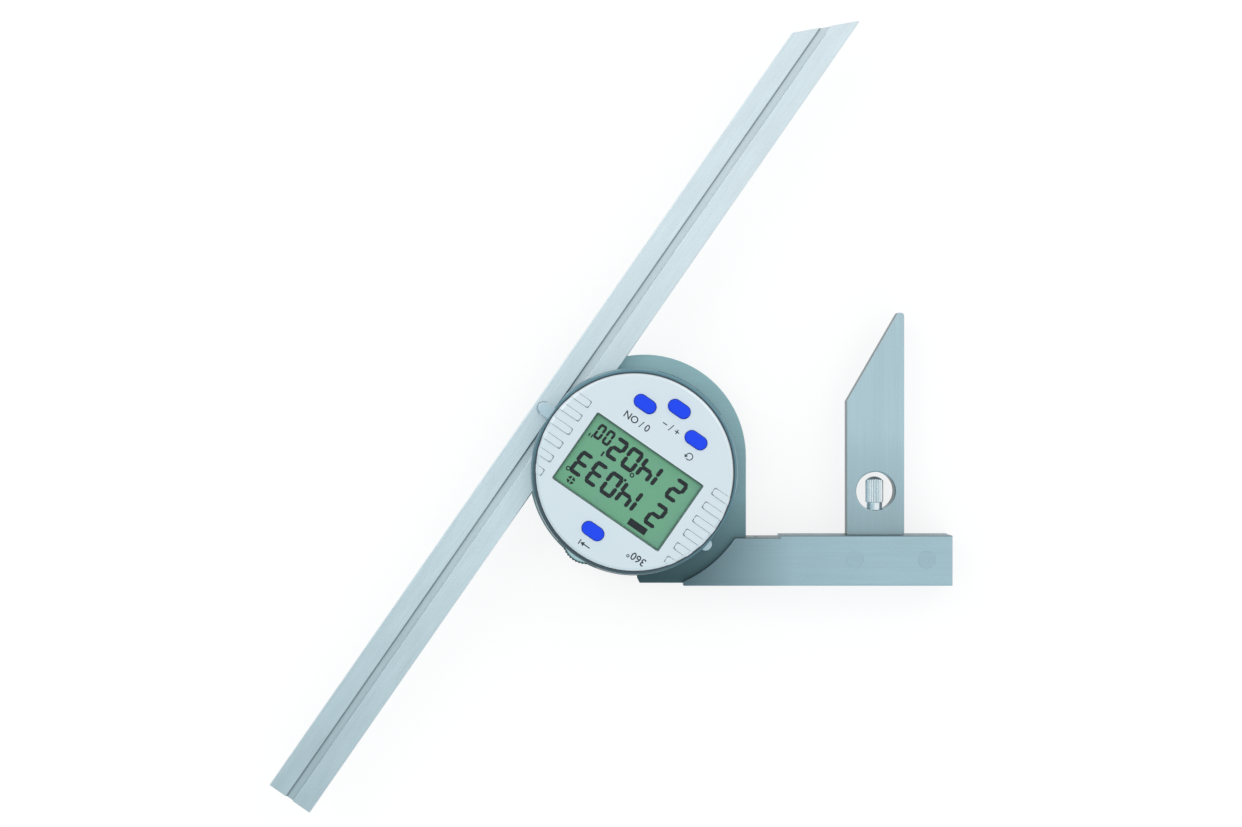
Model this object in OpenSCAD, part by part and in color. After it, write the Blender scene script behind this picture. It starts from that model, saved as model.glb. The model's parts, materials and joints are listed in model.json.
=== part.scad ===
// Digital universal protractor, lying on its back with the display up.
// The origin is on the head's turning axis, in the plane that the instrument rests on.
// +X runs along the stock, +Y towards the blade's upper end, +Z out of the display.
// Parts of the head are drawn in the dial's own axes and turned by dial(): there x runs
// square to the blade, towards it, and y points up the display's reading.

/* [Blade] */
// Overall length, along the working edge
blade_length = 300; // [250:1:320]
// Width of the blade
blade_width = 15.2; // [14:0.1:18]
// Thickness of the blade
blade_thickness = 2.5; // [2:0.1:3.5]
// Angle of the upper end, away from the stock
upper_end_angle = 45; // [35:1:60]
// Angle of the lower end
lower_end_angle = 60; // [45:1:75]
// How far the upper point stands past the turning axis, along the blade
blade_reach = 154.9; // [130:0.1:170]
// Angle between the blade and the stock at rest
blade_angle = 55.2; // [50:0.1:60]
// Width of the clamping groove
groove_width = 2.4; // [2.2:0.1:3]
// Depth of the clamping groove
groove_depth = 1.0; // [0.7:0.1:1.4]
// From the working edge to the near wall of the groove
groove_inset = 6.5; // [5.8:0.1:7.5]
// Blunt width on the two sharp points
tip_flat = 0.4; // [0.2:0.1:1]
// Chamfer along the blade's long edges and its groove
blade_chamfer = 0.2; // [0.1:0.05:0.4]

/* [Turntable] */
// From the turning axis to the shoulder that the blade bears on
seat_distance = 22.25; // [21.8:0.05:22.8]
// Height of the blade's seat above the turntable's underside
seat_height = 2.8; // [2.7:0.1:3.4]
// Thickness of the flange that the rotation lock grips
flange_thickness = 1.6; // [1.5:0.1:1.8]
// Radius of the hub that turns in the frame
hub_radius = 8; // [7.6:0.1:8.3]
// Radius of the thread on the hub's end
hub_thread_radius = 7; // [6.2:0.1:7.3]
// Thickness of the hub's nut
nut_thickness = 1.3; // [1:0.1:1.4]
// Radius of the hub's nut
nut_radius = 10.8; // [10:0.1:11.2]
// Thickness of the spring washer under the frame
washer_thickness = 0.5; // [0.3:0.1:0.6]
// Wall of the bearing bush
bush_wall = 1.57; // [1.2:0.01:1.8]

/* [Blade clamp] */
// Width of the clamp hook
hook_width = 4.2; // [3.6:0.1:5]
// Thickness of the clamp hook
hook_thickness = 1.7; // [1.4:0.1:2.2]
// From the turning axis to the hook's rounded tip
hook_reach = 36.5; // [35.5:0.1:37.4]
// Throw of the eccentric that draws the hook
eccentric_throw = 0.25; // [0.15:0.01:0.25]
// Radius of the eccentric
eccentric_radius = 2; // [1.6:0.1:2.2]
// Radius of the clamp shaft
clamp_shaft_radius = 3; // [2.6:0.1:3.6]
// Radius of the clamp knob
clamp_knob_radius = 14; // [12.5:0.5:16]
// Height of the clamp knob
knob_height = 5.6; // [5:0.1:7]
// Serrations round the clamp knob
clamp_knob_teeth = 48; // [30:1:60]

/* [Fine feed] */
// Module of the feed teeth
feed_module = 0.5; // [0.48:0.01:0.52]
// Teeth on the fixed feed gear
gear_teeth = 90; // [88:1:91]
// Teeth on the pinion
pinion_teeth = 14; // [13:1:15]
// Thickness of the fixed feed gear
gear_thickness = 1.3; // [1.1:0.1:1.4]
// Radius of the thumb wheel
wheel_radius = 7.7; // [7:0.1:8]
// Thickness of the thumb wheel
wheel_thickness = 2.8; // [2.2:0.1:2.9]
// Serrations round the thumb wheel
wheel_teeth = 44; // [30:1:60]
// Radius of the pinion's shaft
pinion_shaft_radius = 1.5; // [1.2:0.1:1.8]

/* [Head] */
// Radius of the housing
head_radius = 32; // [30:0.5:35]
// Depth of the finger flats cut off the housing's two sides
flat_depth = 1; // [0.7:0.1:1.1]
// Thickness of the housing's floor
floor_thickness = 1.2; // [1:0.1:1.6]
// How far the silver cover's edge lies inside the housing's
cover_inset = 1.8; // [1.7:0.05:2]
// Thickness of the cover's face
cover_thickness = 1.4; // [1.2:0.1:1.8]
// Depth of the cover's skirt, from its face
cover_depth = 3.4; // [3:0.1:3.8]
// How far the cover's face stands over the housing's rim
cover_rise = 1.0; // [0.8:0.1:1.4]
// Height of the finger ribs on the cover
rib_height = 0.35; // [0.2:0.05:0.5]
// Width of a finger rib
rib_width = 2.2; // [1.8:0.1:2.6]
// Spacing of the finger ribs
rib_pitch = 5.05; // [4.6:0.05:5.1]
// Finger ribs on each side
rib_count = 6; // [4:2:6]
// Length of the finger ribs, in from the cover's edge
rib_reach = 7.25; // [6.2:0.05:7.6]

/* [Display] */
// Width of the window, as a share of the cover's diameter
window_share = 0.6475; // [0.6:0.0025:0.65]
// Height of the window, as a share of its width
window_aspect = 0.619; // [0.57:0.005:0.63]
// Height of the window's centre above the dial's centre
window_offset = 3.6; // [3.2:0.1:3.8]
// How much wider the display is than the window, at each edge
panel_margin = 1.9; // [1.2:0.1:2]
// Thickness of the display's glass
panel_thickness = 1.7; // [1.4:0.1:2]
// Depth of the lens below the cover's face
lens_recess = 0.4; // [0.2:0.1:0.6]

/* [Buttons] */
// Length of a button
button_length = 7.25; // [6.6:0.05:7.4]
// Width of a button
button_width = 4.1; // [3.6:0.1:4.3]
// Height of a button above the face
button_rise = 0.8; // [0.5:0.1:1.2]
// Travel of a button
button_travel = 0.3; // [0.2:0.05:0.3]
// Rounding of a button's top edge
button_round = 0.45; // [0.2:0.05:0.6]

/* [Electronics] */
// Diameter of the coin cell
coin_diameter = 20; // [19:0.1:20.2]
// Height of the coin cell
coin_height = 3.2; // [2.5:0.1:3.6]
// Thickness of the battery drawer's floor
tray_floor = 0.8; // [0.6:0.1:1]
// Side wall of the battery drawer
tray_wall = 1.8; // [1.4:0.1:1.9]
// Thickness of the circuit board
board_thickness = 0.8; // [0.6:0.1:1.2]
// Height of the contact strips between board and display
strip_height = 1.3; // [1.2:0.1:1.8]
// Inner radius of the encoder's two discs
encoder_inner_radius = 10.5; // [10.4:0.1:11.5]
// Outer radius of the encoder's two discs
encoder_outer_radius = 17.4; // [16:0.1:17.5]
// Thickness of each encoder disc
encoder_thickness = 0.8; // [0.6:0.1:0.9]

/* [Frame] */
// Thickness of the frame
frame_thickness = 5.5; // [5:0.1:7]
// How far the frame's round part stands out past the housing
frame_margin = 1; // [0.6:0.1:1.5]
// How far the frame's right edge stands out past the housing
frame_side = 3.1; // [2.6:0.1:3.6]
// How far the frame's top stands out past the housing
frame_crown = 4.4; // [3.8:0.1:4.8]
// From the turning axis to the foot's left edge
foot_left = 0.9; // [0:0.1:4]
// How far the foot stays back from the working edge
foot_inset = 0.8; // [0.6:0.1:1.4]
// Height of the arm inside the stock
arm_height = 7; // [6:0.1:7.6]

/* [Stock] */
// From the turning axis to the working edge
stock_drop = 36.1; // [35.6:0.1:37]
// Height of the stock, from its working edge to its guide land
stock_height = 15.7; // [15.4:0.1:16.5]
// Thickness of the stock
stock_thickness = 13.5; // [13:0.1:14.2]
// From the turning axis to the stock's right end
stock_reach = 99.7; // [98:0.1:110]
// Where the stock's left end starts on the working edge
stock_start = 15.4; // [12:0.1:18]
// Gap between the housing and the round recess in the stock
recess_gap = 6; // [5.8:0.1:7]
// Where the raised guide land starts
land_start = 45.9; // [44:0.1:47]
// Height of the guide land
land_height = 0.65; // [0.4:0.05:0.8]
// Width of the slot's mouth
slot_width = 2.8; // [2.6:0.1:3]
// Depth of the slot's mouth
slot_lip = 1.6; // [1.5:0.1:1.8]
// Width of the slot's wide part
slot_inner_width = 5.6; // [5:0.1:6]
// Height of the slot's wide part
slot_inner_height = 2.4; // [2.2:0.1:2.5]
// Radius of the two flush pins
pin_radius = 2.7; // [2.2:0.1:2.9]
// From the stock's right end to the nearer flush pin
pin_margin = 8.1; // [7.6:0.1:10]
// Spacing of the flush pins
pin_pitch = 22.5; // [20:0.1:23]
// From the frame's right edge to the grub screw
grub_margin = 2.7; // [2.3:0.1:5]
// Radius of the grub screw
grub_radius = 1.4; // [1.2:0.1:1.6]

/* [Rotation lock] */
// Direction of the lock, from the stock's own direction
lock_angle = -45.9; // [-48:0.1:-44]
// Gap between the housing and the lock's stud, at the stud's middle
lock_gap = 0.6; // [0.5:0.05:0.8]
// Radius of the lock's stud
lock_stud_radius = 1; // [0.8:0.1:1]
// Radius of the lock pad's round end
lock_pad_radius = 2; // [1.8:0.1:2.2]
// Thickness of the lock pad
lock_pad_thickness = 0.7; // [0.5:0.1:0.75]
// Radius of the lock knob
lock_knob_radius = 6; // [5:0.1:6.4]
// Serrations round the lock knob
lock_knob_teeth = 24; // [16:1:30]

/* [Acute-angle attachment] */
// Place of the attachment's left edge along the stock
attachment_place = 67.05; // [64:0.05:70]
// Width of the attachment
attachment_width = 18; // [16:0.1:20]
// Height of the attachment
attachment_height = 70; // [66:0.5:76]
// Thickness of the attachment
attachment_thickness = 6.5; // [6:0.1:7.5]
// Height at which its slanted edge starts
slant_start = 42.2; // [36:0.1:46]
// Angle of its point
point_angle = 30; // [28:1:34]
// Rounding of its point
point_round = 0.9; // [0.5:0.1:1]
// Radius of its round window
port_radius = 6.1; // [5.6:0.1:6.6]
// Height of the window's centre
port_height = 13.8; // [13:0.1:16]
// Radius of the thumb screw's head
thumb_radius = 2.8; // [2.5:0.1:2.8]
// Length of the thumb screw's knurled head
thumb_length = 8.3; // [7:0.1:8.6]
// How far the head's round crown stands above its knurl
thumb_crown = 0.9; // [0.6:0.1:1.2]
// Length of the plain collar under the head
thumb_collar = 2.3; // [2:0.1:2.6]
// Radius of the thumb screw's thread
thumb_thread_radius = 1.25; // [1:0.05:1.3]
// Serrations round the thumb screw
thumb_teeth = 22; // [16:1:26]

/* [Hidden] */
$fn = 96;

// Clearances
slide_play = 0.05;        // between faces that slide on each other
shaft_play = 0.05;        // round a shaft that turns
close_play = 0.15;        // round a button or a cover that drops in
thread_play = 0.03;       // round a thread, which is modelled plain
pocket_play = 0.3;        // round a part that moves in a pocket
turn_gap = 0.3;           // between the frame and the turntable
knob_gap = 0.4;           // between a knob and the frame
blade_gap = 0.35;         // between the blade and the housing
past = 1;                 // how far a cutting body runs past what it cuts
serration_depth = 0.35;
tip_clear = 0.1;          // the chamfer's cone runs past the tips by this much
edge_chamfer = 0.3;

// Heights above the resting plane, from the back to the face
z_frame = knob_height + knob_gap;
z_face = z_frame + frame_thickness;
z_turn = z_face + turn_gap;
z_flange = z_turn + flange_thickness;
z_seat = z_turn + seat_height;
z_blade = z_seat + slide_play;
z_blade_top = z_blade + blade_thickness;
z_hook = z_blade_top + 2 * slide_play;
z_hook_top = z_hook + hook_thickness;
z_deck = z_hook_top + close_play;
z_floor = z_deck + floor_thickness;
z_drawer = z_floor + close_play;
z_coin = z_drawer + tray_floor + slide_play;
z_board = z_coin + coin_height + pocket_play;
z_board_top = z_board + board_thickness;
z_panel = z_board_top + strip_height;
z_plate = z_panel + panel_thickness;
z_top = z_plate + cover_thickness;
z_rim = z_top - cover_rise;
z_shoulder = z_top - cover_depth;
z_skirt = z_seat + pocket_play;
z_switch = z_board_top + strip_height - slide_play;

// Head
dial_turn = blade_angle + 90;
flange_radius = head_radius - 0.8;
deck_radius = head_radius - 2.7;
skirt_radius = deck_radius + 0.2;
cover_radius = head_radius - cover_inset;
rebate_radius = cover_radius + close_play;
ledge_width = 1.4;        // the housing's ledge that carries the cover
cavity_radius = cover_radius - ledge_width;
flat_distance = head_radius - flat_depth;
rib_start = cover_radius - rib_reach;
window_width = 2 * cover_radius * window_share;
window_height = window_width * window_aspect;
post_radius = 2;
post_angle = 53.3;
post_distance = cavity_radius - post_radius - 0.35;
post_x = post_distance * cos(post_angle);
post_y = post_distance * sin(post_angle);
screw_radius = 1;
screw_head_radius = 1.9;
screw_head_depth = 1.4;
drawer_half_width = coin_diameter / 2 + tray_wall + shaft_play;
coin_y = -cavity_radius + coin_diameter / 2 - 0.3;
coin_play = 0.1;
panel_width = window_width + 2 * panel_margin;
panel_height = window_height + 2 * panel_margin;
flex_x = -14;
flex_width = 5;
flex_thickness = 0.3;
button_lip = 0.65;
button_lip_thickness = 0.8;
// Each button's direction, and its distance as a share of the cover's radius
button_spots = [[89.5, 0.7285], [-64, 0.696], [-90.5, 0.7815], [-117.7, 0.699]];
button_places = [for (s = button_spots)
    cover_radius * s[1] * [cos(s[0]), sin(s[0])]];

// Blade clamp
blade_x = seat_distance + slide_play;
groove_x = blade_x + groove_inset;
tongue_play = 0.3;
eye_radius = eccentric_radius + 2.9;
eye_slot_play = 0.08;
shaft_bore = clamp_shaft_radius + shaft_play;

// Fine feed: the pinion's centre lies on the dial's y axis
feed_distance = feed_module * (gear_teeth + pinion_teeth) / 2;
gear_pitch_radius = feed_module * gear_teeth / 2;
pinion_pitch_radius = feed_module * pinion_teeth / 2;
pressure_angle = 20;
feed_backlash = 0.14;
tooth_addendum = 0.8 * feed_module;
tooth_dedendum = 1.1 * feed_module;
gear_rim = 3.4;
z_gear_pocket = z_face + gear_thickness + 0.15;
z_wheel = z_deck - pocket_play - wheel_thickness;

// Stock
stock_top = stock_height - stock_drop;
recess_radius = head_radius + recess_gap;
pin_start = stock_reach - pin_margin - pin_pitch;
grub_place = head_radius + frame_side + grub_margin;
slot_z = stock_thickness / 2;
slot_start = land_start + 1;
arm_bottom = -stock_drop + 2.8;
arm_end = stock_reach - 4.2;
pin_rise = 8.1;           // from the working edge to the pins' line
pin_y = -stock_drop + pin_rise;
pin_floor = 3;
slot_bottom = stock_top - slot_lip - slot_inner_height;

// Frame: its big outer corner follows the housing
frame_radius = head_radius + frame_margin;
frame_right = head_radius + frame_side;
frame_top = head_radius + frame_crown;
frame_corner = head_radius;

// Rotation lock
lock_distance = head_radius + lock_gap;
pad_x = flange_radius + 0.8;
z_pad = z_flange + pocket_play;

// Attachment
attachment_y = stock_top + slide_play;
port_x = attachment_place + attachment_width / 2;
port_y = stock_top + port_height;
collar_radius = thumb_radius - 0.35;
knurl_chamfer = 0.4;
crown_land = 0.1;
crown_radius = thumb_radius - knurl_chamfer - 0.1;
crown_rise = thumb_crown - crown_land;
crown_ball = (pow(crown_radius, 2) + pow(crown_rise, 2)) / (2 * crown_rise);
driver_slot = 0.6;
collar_y = port_y - port_radius + 0.1;
nut_travel_gap = 0.3;
nut_length = 9;

module dial() {
    rotate([0, 0, dial_turn]) children();
}

module at_lock() {
    rotate([0, 0, lock_angle]) children();
}

module tube(outer, inner, z0, z1) {
    translate([0, 0, z0]) difference() {
        cylinder(r = outer, h = z1 - z0);
        translate([0, 0, -past]) cylinder(r = inner, h = z1 - z0 + 2 * past);
    }
}

// A box between two corners
module block(low, high) {
    translate(low) cube(high - low);
}

// A disc whose edge carries straight serrations and two chamfers
module serrated_disc(radius, teeth, z0, z1, chamfer) {
    outline = [for (i = [0 : 2 * teeth - 1])
        let (r = radius - (i % 2) * serration_depth, a = i * 180 / teeth)
        [r * cos(a), r * sin(a)]];
    intersection() {
        translate([0, 0, z0]) linear_extrude(z1 - z0) polygon(outline);
        rotate_extrude() polygon([
            [0, z0], [radius - chamfer, z0],
            [radius + tip_clear, z0 + chamfer + tip_clear],
            [radius + tip_clear, z1 - chamfer - tip_clear],
            [radius - chamfer, z1], [0, z1]
        ]);
    }
}

// A slab with half-round ends along x, and a chamfer round its top edge
module stadium(length, width, z0, z1, chamfer = 0) {
    r = width / 2;
    side = [[0, z0], [r, z0], [r, z1 - chamfer], [r - chamfer, z1], [0, z1]];
    across = [[-r, z0], [r, z0], [r, z1 - chamfer], [r - chamfer, z1],
              [chamfer - r, z1], [-r, z1 - chamfer]];
    for (s = [-1, 1]) translate([s * (length - width) / 2, 0, 0]) rotate_extrude() polygon(side);
    translate([-(length - width) / 2, 0, 0]) rotate([90, 0, 90])
        linear_extrude(length - width) polygon(across);
}

// Angle by which an involute flank leans at radius r
function involute_lean(r, base_radius) =
    let (ratio = max(1, r / base_radius))
    sqrt(ratio * ratio - 1) * 180 / PI - acos(1 / ratio);

// Outline of an external gear with involute flanks, with a tooth on the x axis
function gear_outline(teeth) =
    let (pitch_radius = feed_module * teeth / 2,
         base_radius = pitch_radius * cos(pressure_angle),
         root = pitch_radius - tooth_dedendum,
         tip = pitch_radius + tooth_addendum,
         radii = [root, max(base_radius, root + 0.05), pitch_radius, tip],
         half = 90 / teeth - feed_backlash / 2 / pitch_radius * 180 / PI,
         lean = involute_lean(pitch_radius, base_radius))
    [for (i = [0 : teeth - 1]) for (side = [-1, 1]) for (k = [0 : 3])
        let (r = side < 0 ? radii[k] : radii[3 - k],
             a = i * 360 / teeth + side * (half + lean - involute_lean(r, base_radius)))
        [r * cos(a), r * sin(a)]];

// Frame

// Plan of the frame's plate: a disc, one big rounded corner, and the foot
module frame_plate() {
    corner_x = frame_right - frame_corner;
    corner_y = frame_top - frame_corner;
    foot_y = foot_inset - stock_drop;
    translate([0, 0, z_frame]) {
        cylinder(r = frame_radius, h = frame_thickness);
        translate([corner_x, corner_y, 0]) cylinder(r = frame_corner, h = frame_thickness);
        linear_extrude(frame_thickness) polygon([
            [foot_left, 0], [foot_left, foot_y + 1.6], [foot_left + 0.8, foot_y],
            [frame_right, foot_y], [frame_right, corner_y], [foot_left, corner_y]
        ]);
    }
}

module frame_arm() {
    block([frame_right - 5, arm_bottom, z_frame], [arm_end, arm_bottom + arm_height, z_face]);
}

module stock_pin_row(radius, z0, z1) {
    for (i = [0, 1]) translate([pin_start + i * pin_pitch, pin_y, z0])
        cylinder(r = radius, h = z1 - z0);
}

module base_frame() {
    color("#54706f") difference() {
        union() {
            frame_plate();
            frame_arm();
        }
        translate([0, 0, z_frame - past])
            cylinder(r = hub_radius + shaft_play + bush_wall, h = frame_thickness + 2 * past);
        tube(encoder_outer_radius + 0.1, encoder_inner_radius - 0.1,
             z_turn - encoder_thickness - 0.1, z_face + past);
        at_lock() translate([lock_distance, 0, z_frame - past])
            cylinder(r = lock_stud_radius + shaft_play, h = frame_thickness + 2 * past);
        stock_pin_row(pin_radius, z_frame - past, z_face + past);
    }
}

module bearing_bush() {
    inner = hub_radius + shaft_play;
    outer = inner + bush_wall;
    color("#b08d57") difference() {
        union() {
            tube(outer, inner, z_frame, z_face);
            tube(outer + 0.4, inner, z_face, z_turn - slide_play);
        }
        for (a = [0, 120, 240]) rotate([0, 0, a])
            block([0, -0.6, z_face + 0.05], [outer + past, 0.6, z_turn]);
    }
}

module encoder_stator() {
    color("#2f6b3f") tube(encoder_outer_radius, encoder_inner_radius,
                          z_turn - encoder_thickness - 0.1, z_turn - 0.1);
}

module feed_gear() {
    color("#c9b36a") translate([0, 0, z_face]) dial() difference() {
        rotate([0, 0, 90]) linear_extrude(gear_thickness) polygon(gear_outline(gear_teeth));
        translate([0, 0, -past])
            cylinder(r = gear_pitch_radius - gear_rim, h = gear_thickness + 2 * past);
    }
}

// Stock

module stock() {
    c = edge_chamfer;
    low = -stock_drop;
    mid = stock_top - land_height;
    top = stock_top;
    t = stock_thickness;
    color("#93b2bd") difference() {
        union() {
            translate([stock_start, 0, 0]) rotate([90, 0, 90])
                linear_extrude(stock_reach - stock_start) polygon([
                    [low + c, 0], [mid - c, 0], [mid, c], [mid, t - c], [mid - c, t],
                    [low + c, t], [low, t - c], [low, c]
                ]);
            translate([land_start, 0, 0]) rotate([90, 0, 90])
                linear_extrude(stock_reach - land_start) polygon([
                    [low + c, 0], [top - c, 0], [top, c], [top, t - c], [top - c, t],
                    [low + c, t], [low, t - c], [low, c]
                ]);
        }
        translate([0, 0, z_face]) cylinder(r = recess_radius, h = t);
        translate([0, 0, -past]) cylinder(
            r = lock_distance + lock_knob_radius + 2 * knob_gap, h = z_frame + past);
        frame_plate();
        frame_arm();
        stock_pin_row(pin_radius, pin_floor, t + past);
        block([slot_start, top - slot_lip - past, slot_z - slot_width / 2],
              [stock_reach + past, top + past, slot_z + slot_width / 2]);
        block([slot_start, slot_bottom, slot_z - slot_inner_width / 2],
              [stock_reach + past, top - slot_lip, slot_z + slot_inner_width / 2]);
        translate([grub_place, top + past, z_frame + frame_thickness / 2]) rotate([90, 0, 0])
            cylinder(r = grub_radius, h = top + past - arm_bottom - arm_height);
    }
}

module stock_pins() {
    color("#a7bfc8") stock_pin_row(pin_radius, pin_floor, stock_thickness);
}

module stock_grub_screw() {
    arm_top = arm_bottom + arm_height;
    color("#2b3033") translate([grub_place, arm_top, z_frame + frame_thickness / 2])
        rotate([-90, 0, 0]) difference() {
            cylinder(r = grub_radius, h = 3.6);
            translate([0, 0, 2.2]) cylinder(r = 0.75, h = 2, $fn = 6);
        }
}

// Head

module blade_relief(clearance, z1) {
    block([seat_distance - clearance, -head_radius - past, z_seat],
          [head_radius + past, head_radius + past, z1]);
}

module post_holes(radius, z0, z1) {
    for (sx = [-1, 1]) for (sy = [-1, 1]) translate([sx * post_x, sy * post_y, z0])
        cylinder(r = radius, h = z1 - z0);
}

module flex_slot(z0, z1) {
    play = close_play;
    block([flex_x - play, -flex_width / 2 - play, z0],
          [flex_x + flex_thickness + play, flex_width / 2 + play, z1]);
}

module turntable() {
    color("#8fa6ae") dial() difference() {
        union() {
            translate([0, 0, z_turn]) cylinder(r = flange_radius, h = flange_thickness);
            translate([0, 0, z_turn]) cylinder(r = deck_radius, h = z_deck - z_turn);
            translate([0, 0, z_frame - slide_play])
                cylinder(r = hub_radius, h = z_turn - z_frame + 2 * slide_play);
            translate([0, 0, z_frame - washer_thickness - nut_thickness - 2 * slide_play])
                cylinder(r = hub_thread_radius,
                         h = washer_thickness + nut_thickness + 2 * slide_play);
        }
        blade_relief(0, z_deck + past);
        translate([0, 0, -past]) cylinder(r = shaft_bore, h = z_deck + past);
        block([0, -hook_width / 2 - slide_play, z_hook - slide_play],
              [deck_radius, hook_width / 2 + slide_play, z_deck + past]);
        translate([0, 0, z_hook - slide_play])
            cylinder(r = eye_radius + eccentric_throw + pocket_play, h = z_deck);
        tube(encoder_outer_radius + 0.1, encoder_inner_radius - 0.1,
             z_turn - past, z_turn + encoder_thickness + 0.3);
        tube(gear_pitch_radius + tooth_addendum + pocket_play,
             gear_pitch_radius - gear_rim - pocket_play, z_turn - past, z_gear_pocket);
        translate([0, feed_distance, z_turn - past])
            cylinder(r = pinion_pitch_radius + tooth_addendum + pocket_play,
                     h = z_gear_pocket - z_turn + past);
        translate([0, feed_distance, 0])
            cylinder(r = pinion_shaft_radius + shaft_play, h = z_deck);
        translate([0, feed_distance, z_wheel - close_play])
            cylinder(r = wheel_radius + pocket_play, h = z_deck);
        post_holes(screw_radius + 0.1, z_turn - past, z_deck + past);
        post_holes(screw_head_radius + 0.1, z_turn - past, z_turn + screw_head_depth + 0.1);
        flex_slot(z_turn, z_deck + past);
    }
}

module thrust_washer() {
    color("#b9c2c6") tube(nut_radius - 0.4, hub_thread_radius + shaft_play,
                          z_frame - washer_thickness - slide_play, z_frame - slide_play);
}

module retaining_nut() {
    z1 = z_frame - washer_thickness - slide_play;
    color("#6f7f85") difference() {
        tube(nut_radius, hub_thread_radius + thread_play, z1 - nut_thickness, z1);
        for (a = [0, 90]) rotate([0, 0, a])
            block([-nut_radius - past, -0.8, z1 - nut_thickness - past],
                  [nut_radius + past, 0.8, z1 - nut_thickness + 0.6]);
    }
}

module encoder_rotor() {
    color("#2f6b3f") tube(encoder_outer_radius, encoder_inner_radius,
                          z_turn + 0.3, z_turn + 0.3 + encoder_thickness);
}

// Body of the reading head: floor, wall and rim, turned as one profile
module housing() {
    rim_radius = rebate_radius + 0.4;
    waist = z_floor + 1.5;
    color("#54727f") dial() difference() {
        rotate_extrude() polygon([
            [0, z_deck], [skirt_radius, z_deck], [skirt_radius, z_skirt],
            [head_radius - edge_chamfer, z_skirt], [head_radius, z_skirt + edge_chamfer],
            [head_radius, waist], [rim_radius + 0.55, z_rim - 0.6], [rim_radius, z_rim],
            [rebate_radius, z_rim], [rebate_radius, z_shoulder], [cavity_radius, z_shoulder],
            [cavity_radius, z_floor], [0, z_floor]
        ]);
        for (s = [0, 180]) rotate([0, 0, s])
            block([flat_distance, -head_radius, 0], [head_radius + past, head_radius, z_top]);
        blade_relief(blade_gap, z_blade_top + blade_gap);
        block([seat_distance - past, -hook_width / 2 - slide_play, z_seat],
              [head_radius + past, hook_width / 2 + slide_play, z_deck]);
        block([-wheel_radius - 0.6, skirt_radius - wheel_radius, z_seat],
              [wheel_radius + 0.6, head_radius + past, z_deck]);
        difference() {
            block([-wheel_radius + 0.4, 0, z_deck - past],
                  [wheel_radius - 0.4, head_radius + past, z_shoulder - 0.6]);
            cylinder(r = cavity_radius + 1, h = z_top);
        }
        block([-drawer_half_width, -head_radius - past, z_drawer - slide_play],
              [drawer_half_width, coin_y, z_board - slide_play]);
        post_holes(screw_radius + 0.1, z_deck - past, z_floor + past);
        flex_slot(z_deck - past, z_floor + past);
    }
}

// Finger ribs: bars across both sides of the face, cut by one turned profile
module finger_ribs() {
    bar = cover_radius - rib_start + past;
    shoulder = z_top - 0.35;
    intersection() {
        rotate_extrude() polygon([
            [rib_start - 4, z_rim - 0.5], [cover_radius, z_rim - 0.5], [cover_radius, shoulder],
            [cover_radius - 0.5, z_top + 0.1], [cover_radius - 1, z_top + rib_height],
            [rib_start - 4, z_top + rib_height]
        ]);
        for (s = [-1, 1]) for (i = [0 : rib_count - 1])
            translate([s * (rib_start + bar / 2),
                       window_offset + (i - (rib_count - 1) / 2) * rib_pitch, 0])
                stadium(bar, rib_width, z_rim - past, z_top + past);
    }
}

module window_opening(play, z0, z1) {
    block([-window_width / 2 - play, window_offset - window_height / 2 - play, z0],
          [window_width / 2 + play, window_offset + window_height / 2 + play, z1]);
}

module top_cover() {
    inner = cavity_radius - 0.2;
    color("#d7e2ea") dial() difference() {
        union() {
            difference() {
                rotate_extrude() polygon([
                    [0, z_plate], [inner, z_plate], [inner, z_shoulder],
                    [cover_radius, z_shoulder], [cover_radius, z_top - 0.9],
                    [cover_radius - 0.25, z_top - 0.35], [cover_radius - 0.8, z_top], [0, z_top]
                ]);
                for (s = [0, 180]) rotate([0, 0, s])
                    block([cover_radius - 0.75, -rib_start, z_rim],
                          [cover_radius + past, rib_start, z_top + past]);
            }
            finger_ribs();
            post_holes(post_radius, z_floor, z_plate + 0.2);
        }
        window_opening(0, z_plate - past, z_top + past);
        for (p = button_places) translate([p.x, p.y, 0])
            stadium(button_length + 2 * close_play, button_width + 2 * close_play,
                    z_plate - past, z_top + past);
        post_holes(screw_radius, z_floor - past, z_board_top);
    }
}

module lcd_lens() {
    color("#cfe3e8") dial()
        window_opening(-slide_play, z_plate, z_top - lens_recess);
}

module lcd_panel() {
    color("#6fa585") dial()
        block([-panel_width / 2, window_offset - panel_height / 2, z_panel],
              [panel_width / 2, window_offset + panel_height / 2, z_plate]);
}

module display_strips() {
    color("#c77b8c") dial() for (s = [-1, 1])
        translate([0, window_offset + s * (panel_height / 2 - 1.4), 0])
            block([-panel_width / 2 + 4, -1, z_board_top], [panel_width / 2 - 4, 1, z_panel]);
}

module circuit_board() {
    color("#1f6b45") dial() difference() {
        translate([0, 0, z_board]) cylinder(r = cavity_radius - 0.4, h = board_thickness);
        post_holes(post_radius + close_play, z_board - past, z_board_top + past);
    }
}

module switches() {
    color("#c9a23a") dial() for (p = button_places) translate([p.x, p.y, z_board_top]) {
        cylinder(r = 2, h = 0.5);
        cylinder(r = 1.2, h = z_switch - z_board_top);
    }
}

module flex_cable() {
    color("#c58a3a") dial()
        block([flex_x, -flex_width / 2, z_turn + 0.3 + encoder_thickness],
              [flex_x + flex_thickness, flex_width / 2, z_board]);
}

module battery_contact() {
    reach = coin_diameter / 2;
    color("#d9c27a") dial()
        block([-2, coin_y - reach / 2, z_board - 0.2], [2, coin_y + reach, z_board]);
}

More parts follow.
